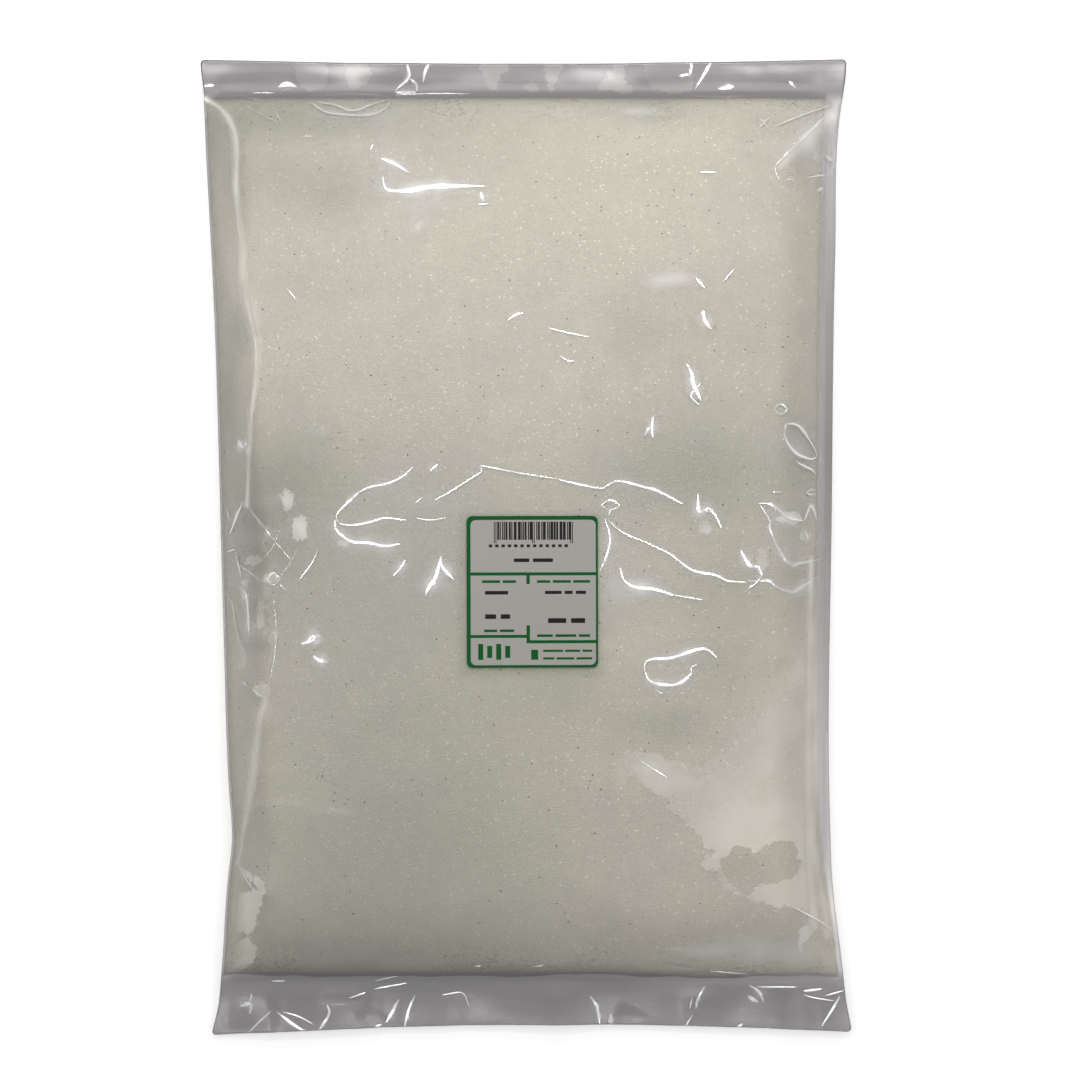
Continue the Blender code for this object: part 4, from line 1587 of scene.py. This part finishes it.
inkHeight = 0.000012
inkStep = 0.0016


def addBlock(bm, left, right, top, bottom):
    # a printed rectangle between those pixels, divided so that it follows the paper
    (x0, y0), (x1, y1) = labelPixel(left, bottom), labelPixel(right, top)
    columns, rows = max(1, round((x1 - x0) / inkStep)), max(1, round((y1 - y0) / inkStep))
    made = bmesh.ops.create_grid(bm, x_segments=columns, y_segments=rows, size=1.0)["verts"]
    for v in made:
        v.co = (x0 + (v.co.x + 1) / 2 * (x1 - x0), y0 + (v.co.y + 1) / 2 * (y1 - y0), 0)


def settleInk(name, bm, material):
    places = np.array([v.co for v in bm.verts])
    x, y, z = labelHeight(places[:, 0], places[:, 1])
    moveAll(bm, x, y, z + label["thickness"] + inkHeight)
    finished(name, bm, material)


def roundedLoop(left, right, top, bottom, radius):
    # closely spaced pixels round a rectangle with round corners
    points = []
    corners = (
        (right - radius, top + radius, -90), (right - radius, bottom - radius, 0),
        (left + radius, bottom - radius, 90), (left + radius, top + radius, 180),
    )
    for cx, cy, first in corners:
        for i in range(7):
            a = math.radians(first + 15 * i)
            points.append((cx + radius * math.cos(a), cy + radius * math.sin(a)))
    dense = []
    for (ax, ay), (bx, by) in zip(points, points[1:] + points[:1]):
        count = max(1, round(math.hypot(bx - ax, by - ay) / 5))
        dense += [(ax + (bx - ax) * i / count, ay + (by - ay) * i / count) for i in range(count)]
    return dense


def addFrame(bm, thick, radius=5.6):
    # a frame with round corners, of four thicknesses: left, right, top and bottom, in pixels
    left, right, top, bottom = (labelPixels[key] for key in ("left", "right", "top", "bottom"))
    wide, tall = right - left, bottom - top
    outer = roundedLoop(left, right, top, bottom, radius)
    inner = [(
        left + thick[0] + (x - left) / wide * (wide - thick[0] - thick[1]),
        top + thick[2] + (y - top) / tall * (tall - thick[2] - thick[3]),
    ) for x, y in outer]
    rings = [[bm.verts.new((*labelPixel(*point), 0)) for point in ring] for ring in (outer, inner)]
    for i in range(len(outer)):
        j = (i + 1) % len(outer)
        bm.faces.new((rings[0][i], rings[0][j], rings[1][j], rings[1][i]))


def addBars(bm, left, right, top, bottom, words, seed):
    # plain bars of uneven length in the place of a line of print, one for each word
    rng = np.random.default_rng(seed)
    shares = rng.uniform(0.6, 1.4, words)
    gap = 1.0 * (bottom - top)
    lengths = shares / shares.sum() * (right - left - gap * (words - 1))
    x = left
    for length in lengths:
        addBlock(bm, x, x + length, top, bottom)
        x += length + gap


# The print, in pixels of the photograph: left, right, top and bottom of each thing

frameThick = (3.9, 2.0, 3.9, 2.6)
frameInner = (labelPixels["left"] + frameThick[0], labelPixels["right"] - frameThick[1])
post = (526.4, 529.8)    # the upright line between the cells
cellLines = (
    (*frameInner, 572.5, 575.6),
    (*post, 575.6, 584.2),
    (*post, 625.5, 643.4),
    (frameInner[0], post[0], 635.0, 638.0),
    (post[1], frameInner[1], 640.4, 643.5),
)
greenSquare = (531, 538, 650, 660)
greenRows = (            # rows of bars, with how many words each has
    (482, 516, 580.4, 583.0, 2), (537, 590, 580.4, 583.0, 3), (484, 514, 629.6, 632.2, 2),
    (537, 590, 634.6, 637.2, 3), (543, 592, 650.0, 652.2, 3), (543, 592, 657.6, 659.8, 3),
)
darkRows = (
    (514, 553, 558.6, 562.2, 2), (485, 508, 591.0, 594.6, 1), (545, 586, 591.0, 594.2, 3),
    (485, 510, 614.4, 619.0, 2), (548, 585, 618.4, 623.2, 2),
)
uprights = {"count": 4, "pitch": 9, "first": (478, 483, 644, 660), "shorter": 2}
ticks = {"count": 13, "pitch": 6.3, "first": (489, 492.4, 544.6, 547.4)}
barPattern = {           # a made-up pattern of bars, its widths in modules
    "left": 494,
    "top": 522,
    "bottom": 540,
    "module": 79 / 95,
    "guards": (0, 2, 46, 48, 92, 94),
    "guardBottom": 543.5,
    "bars": (4, 91),
    "middle": (44.5, 50),    # left free for the guards there
    "inkSpread": 0.3,
    "seed": 90,
}


def makeGreenPrint():
    bm = bmesh.new()
    addFrame(bm, frameThick)
    for line in cellLines:
        addBlock(bm, *line)
    for seed, row in enumerate(greenRows):
        addBars(bm, *row, 60 + seed)
    left, right, top, bottom = uprights["first"]
    for i in range(uprights["count"]):
        on, short = uprights["pitch"] * i, uprights["shorter"] * (i % 2)
        addBlock(bm, left + on, right + on, top + short, bottom - short)
    addBlock(bm, *greenSquare)
    settleInk("labelGreen", bm, greenInk)


def addBarPattern(bm):
    b = barPattern
    rng = np.random.default_rng(b["seed"])
    for start in b["guards"]:
        left = b["left"] + start * b["module"]
        addBlock(bm, left, b["left"] + (start + 1) * b["module"], b["top"], b["guardBottom"])
    place, last = b["bars"]
    while place < last:
        width = rng.choice([1, 1, 2, 3])
        if not b["middle"][0] < place + width / 2 < b["middle"][1]:
            right = b["left"] + b["inkSpread"] + (place + width) * b["module"]
            addBlock(bm, b["left"] + place * b["module"], right, b["top"], b["bottom"])
        place += width + rng.choice([1, 1, 2])


def makeDarkPrint():
    bm = bmesh.new()
    addBarPattern(bm)
    left, right, top, bottom = ticks["first"]
    for i in range(ticks["count"]):
        addBlock(bm, left + ticks["pitch"] * i, right + ticks["pitch"] * i, top, bottom)
    for seed, row in enumerate(darkRows):
        addBars(bm, *row, 70 + seed)
    settleInk("labelDark", bm, darkInk)


makeLabelPaper()
makeGreenPrint()
makeDarkPrint()


# Floor, lights and sky

def makeFloor():
    bm = bmesh.new()
    bmesh.ops.create_grid(bm, x_segments=1, y_segments=1, size=3.0)
    mesh = bpy.data.meshes.new("floor")
    bm.to_mesh(mesh)
    bm.free()
    glow = {"Emission Color": (1, 1, 1, 1), "Emission Strength": 0.30}
    mesh.materials.append(plainMaterial("floorPaint", (0.93, 0.93, 0.93, 1), 0.8, 0.05, 0.01, more=glow))
    floor = bpy.data.objects.new("floor", mesh)
    bpy.context.scene.collection.objects.link(floor)


def addLight(name, place, aim, size, radiance, colour=(1, 1, 1)):
    lamp = bpy.data.lights.new(name, "AREA")
    lamp.shape = "RECTANGLE"
    lamp.size, lamp.size_y = size
    lamp.energy = math.pi * size[0] * size[1] * radiance
    lamp.color = colour
    holder = bpy.data.objects.new(name, lamp)
    holder.location = place
    holder.rotation_euler = (Vector(aim) - Vector(place)).to_track_quat("-Z", "Y").to_euler()
    bpy.context.scene.collection.objects.link(holder)


softLamps = {
    "key": {
        "place": (0, 0.36, 0.30),
        "aim": (0, 0.02, 0.02),
        "size": (0.55, 0.12),
        "radiance": 4.0,
        "colour": (1, 0.985, 0.95),
    },
    "ceiling": {
        "place": (0, 0.1, 1.5),
        "aim": (0, 0, 0),
        "size": (0.8, 0.8),
        "radiance": 1.6,
        "colour": (0.97, 0.97, 1),
    },
}


def makeLights():
    ring = lightRing
    for i in range(ring["count"]):
        angle = math.tau * (i + 0.5) / ring["count"]
        place = (ring["radius"] * math.cos(angle), ring["radius"] * math.sin(angle), ring["height"])
        share = 1 - ring["backShare"] * (1 - math.sin(angle)) / 2
        addLight(f"ring{i}", place, (0, 0, 0.02), ring["size"], ring["radiance"] * share)
    for name, lamp in softLamps.items():
        addLight(name, **lamp)


def makeSky():
    # a dim room with soft lighter and darker parts, for the film to mirror
    world = bpy.data.worlds.new("sky")
    world.use_nodes = True
    tree = world.node_tree
    coordinates = addNode(tree, "ShaderNodeTexCoord")
    noise = addNode(tree, "ShaderNodeTexNoise", {
        "Vector": coordinates.outputs["Generated"],
        "Scale": 2.6,
        "Detail": 1.0,
    })
    strength = ranged(tree, noise.outputs["Fac"], 0.35, 0.65, 0.03, 0.22)
    setInputs(tree, tree.nodes["Background"], {"Color": (0.98, 0.98, 1, 1), "Strength": strength})
    bpy.context.scene.world = world


makeFloor()
makeLights()
makeSky()
bpy.context.scene.view_settings.view_transform = "Standard"
print("floor and lights made")
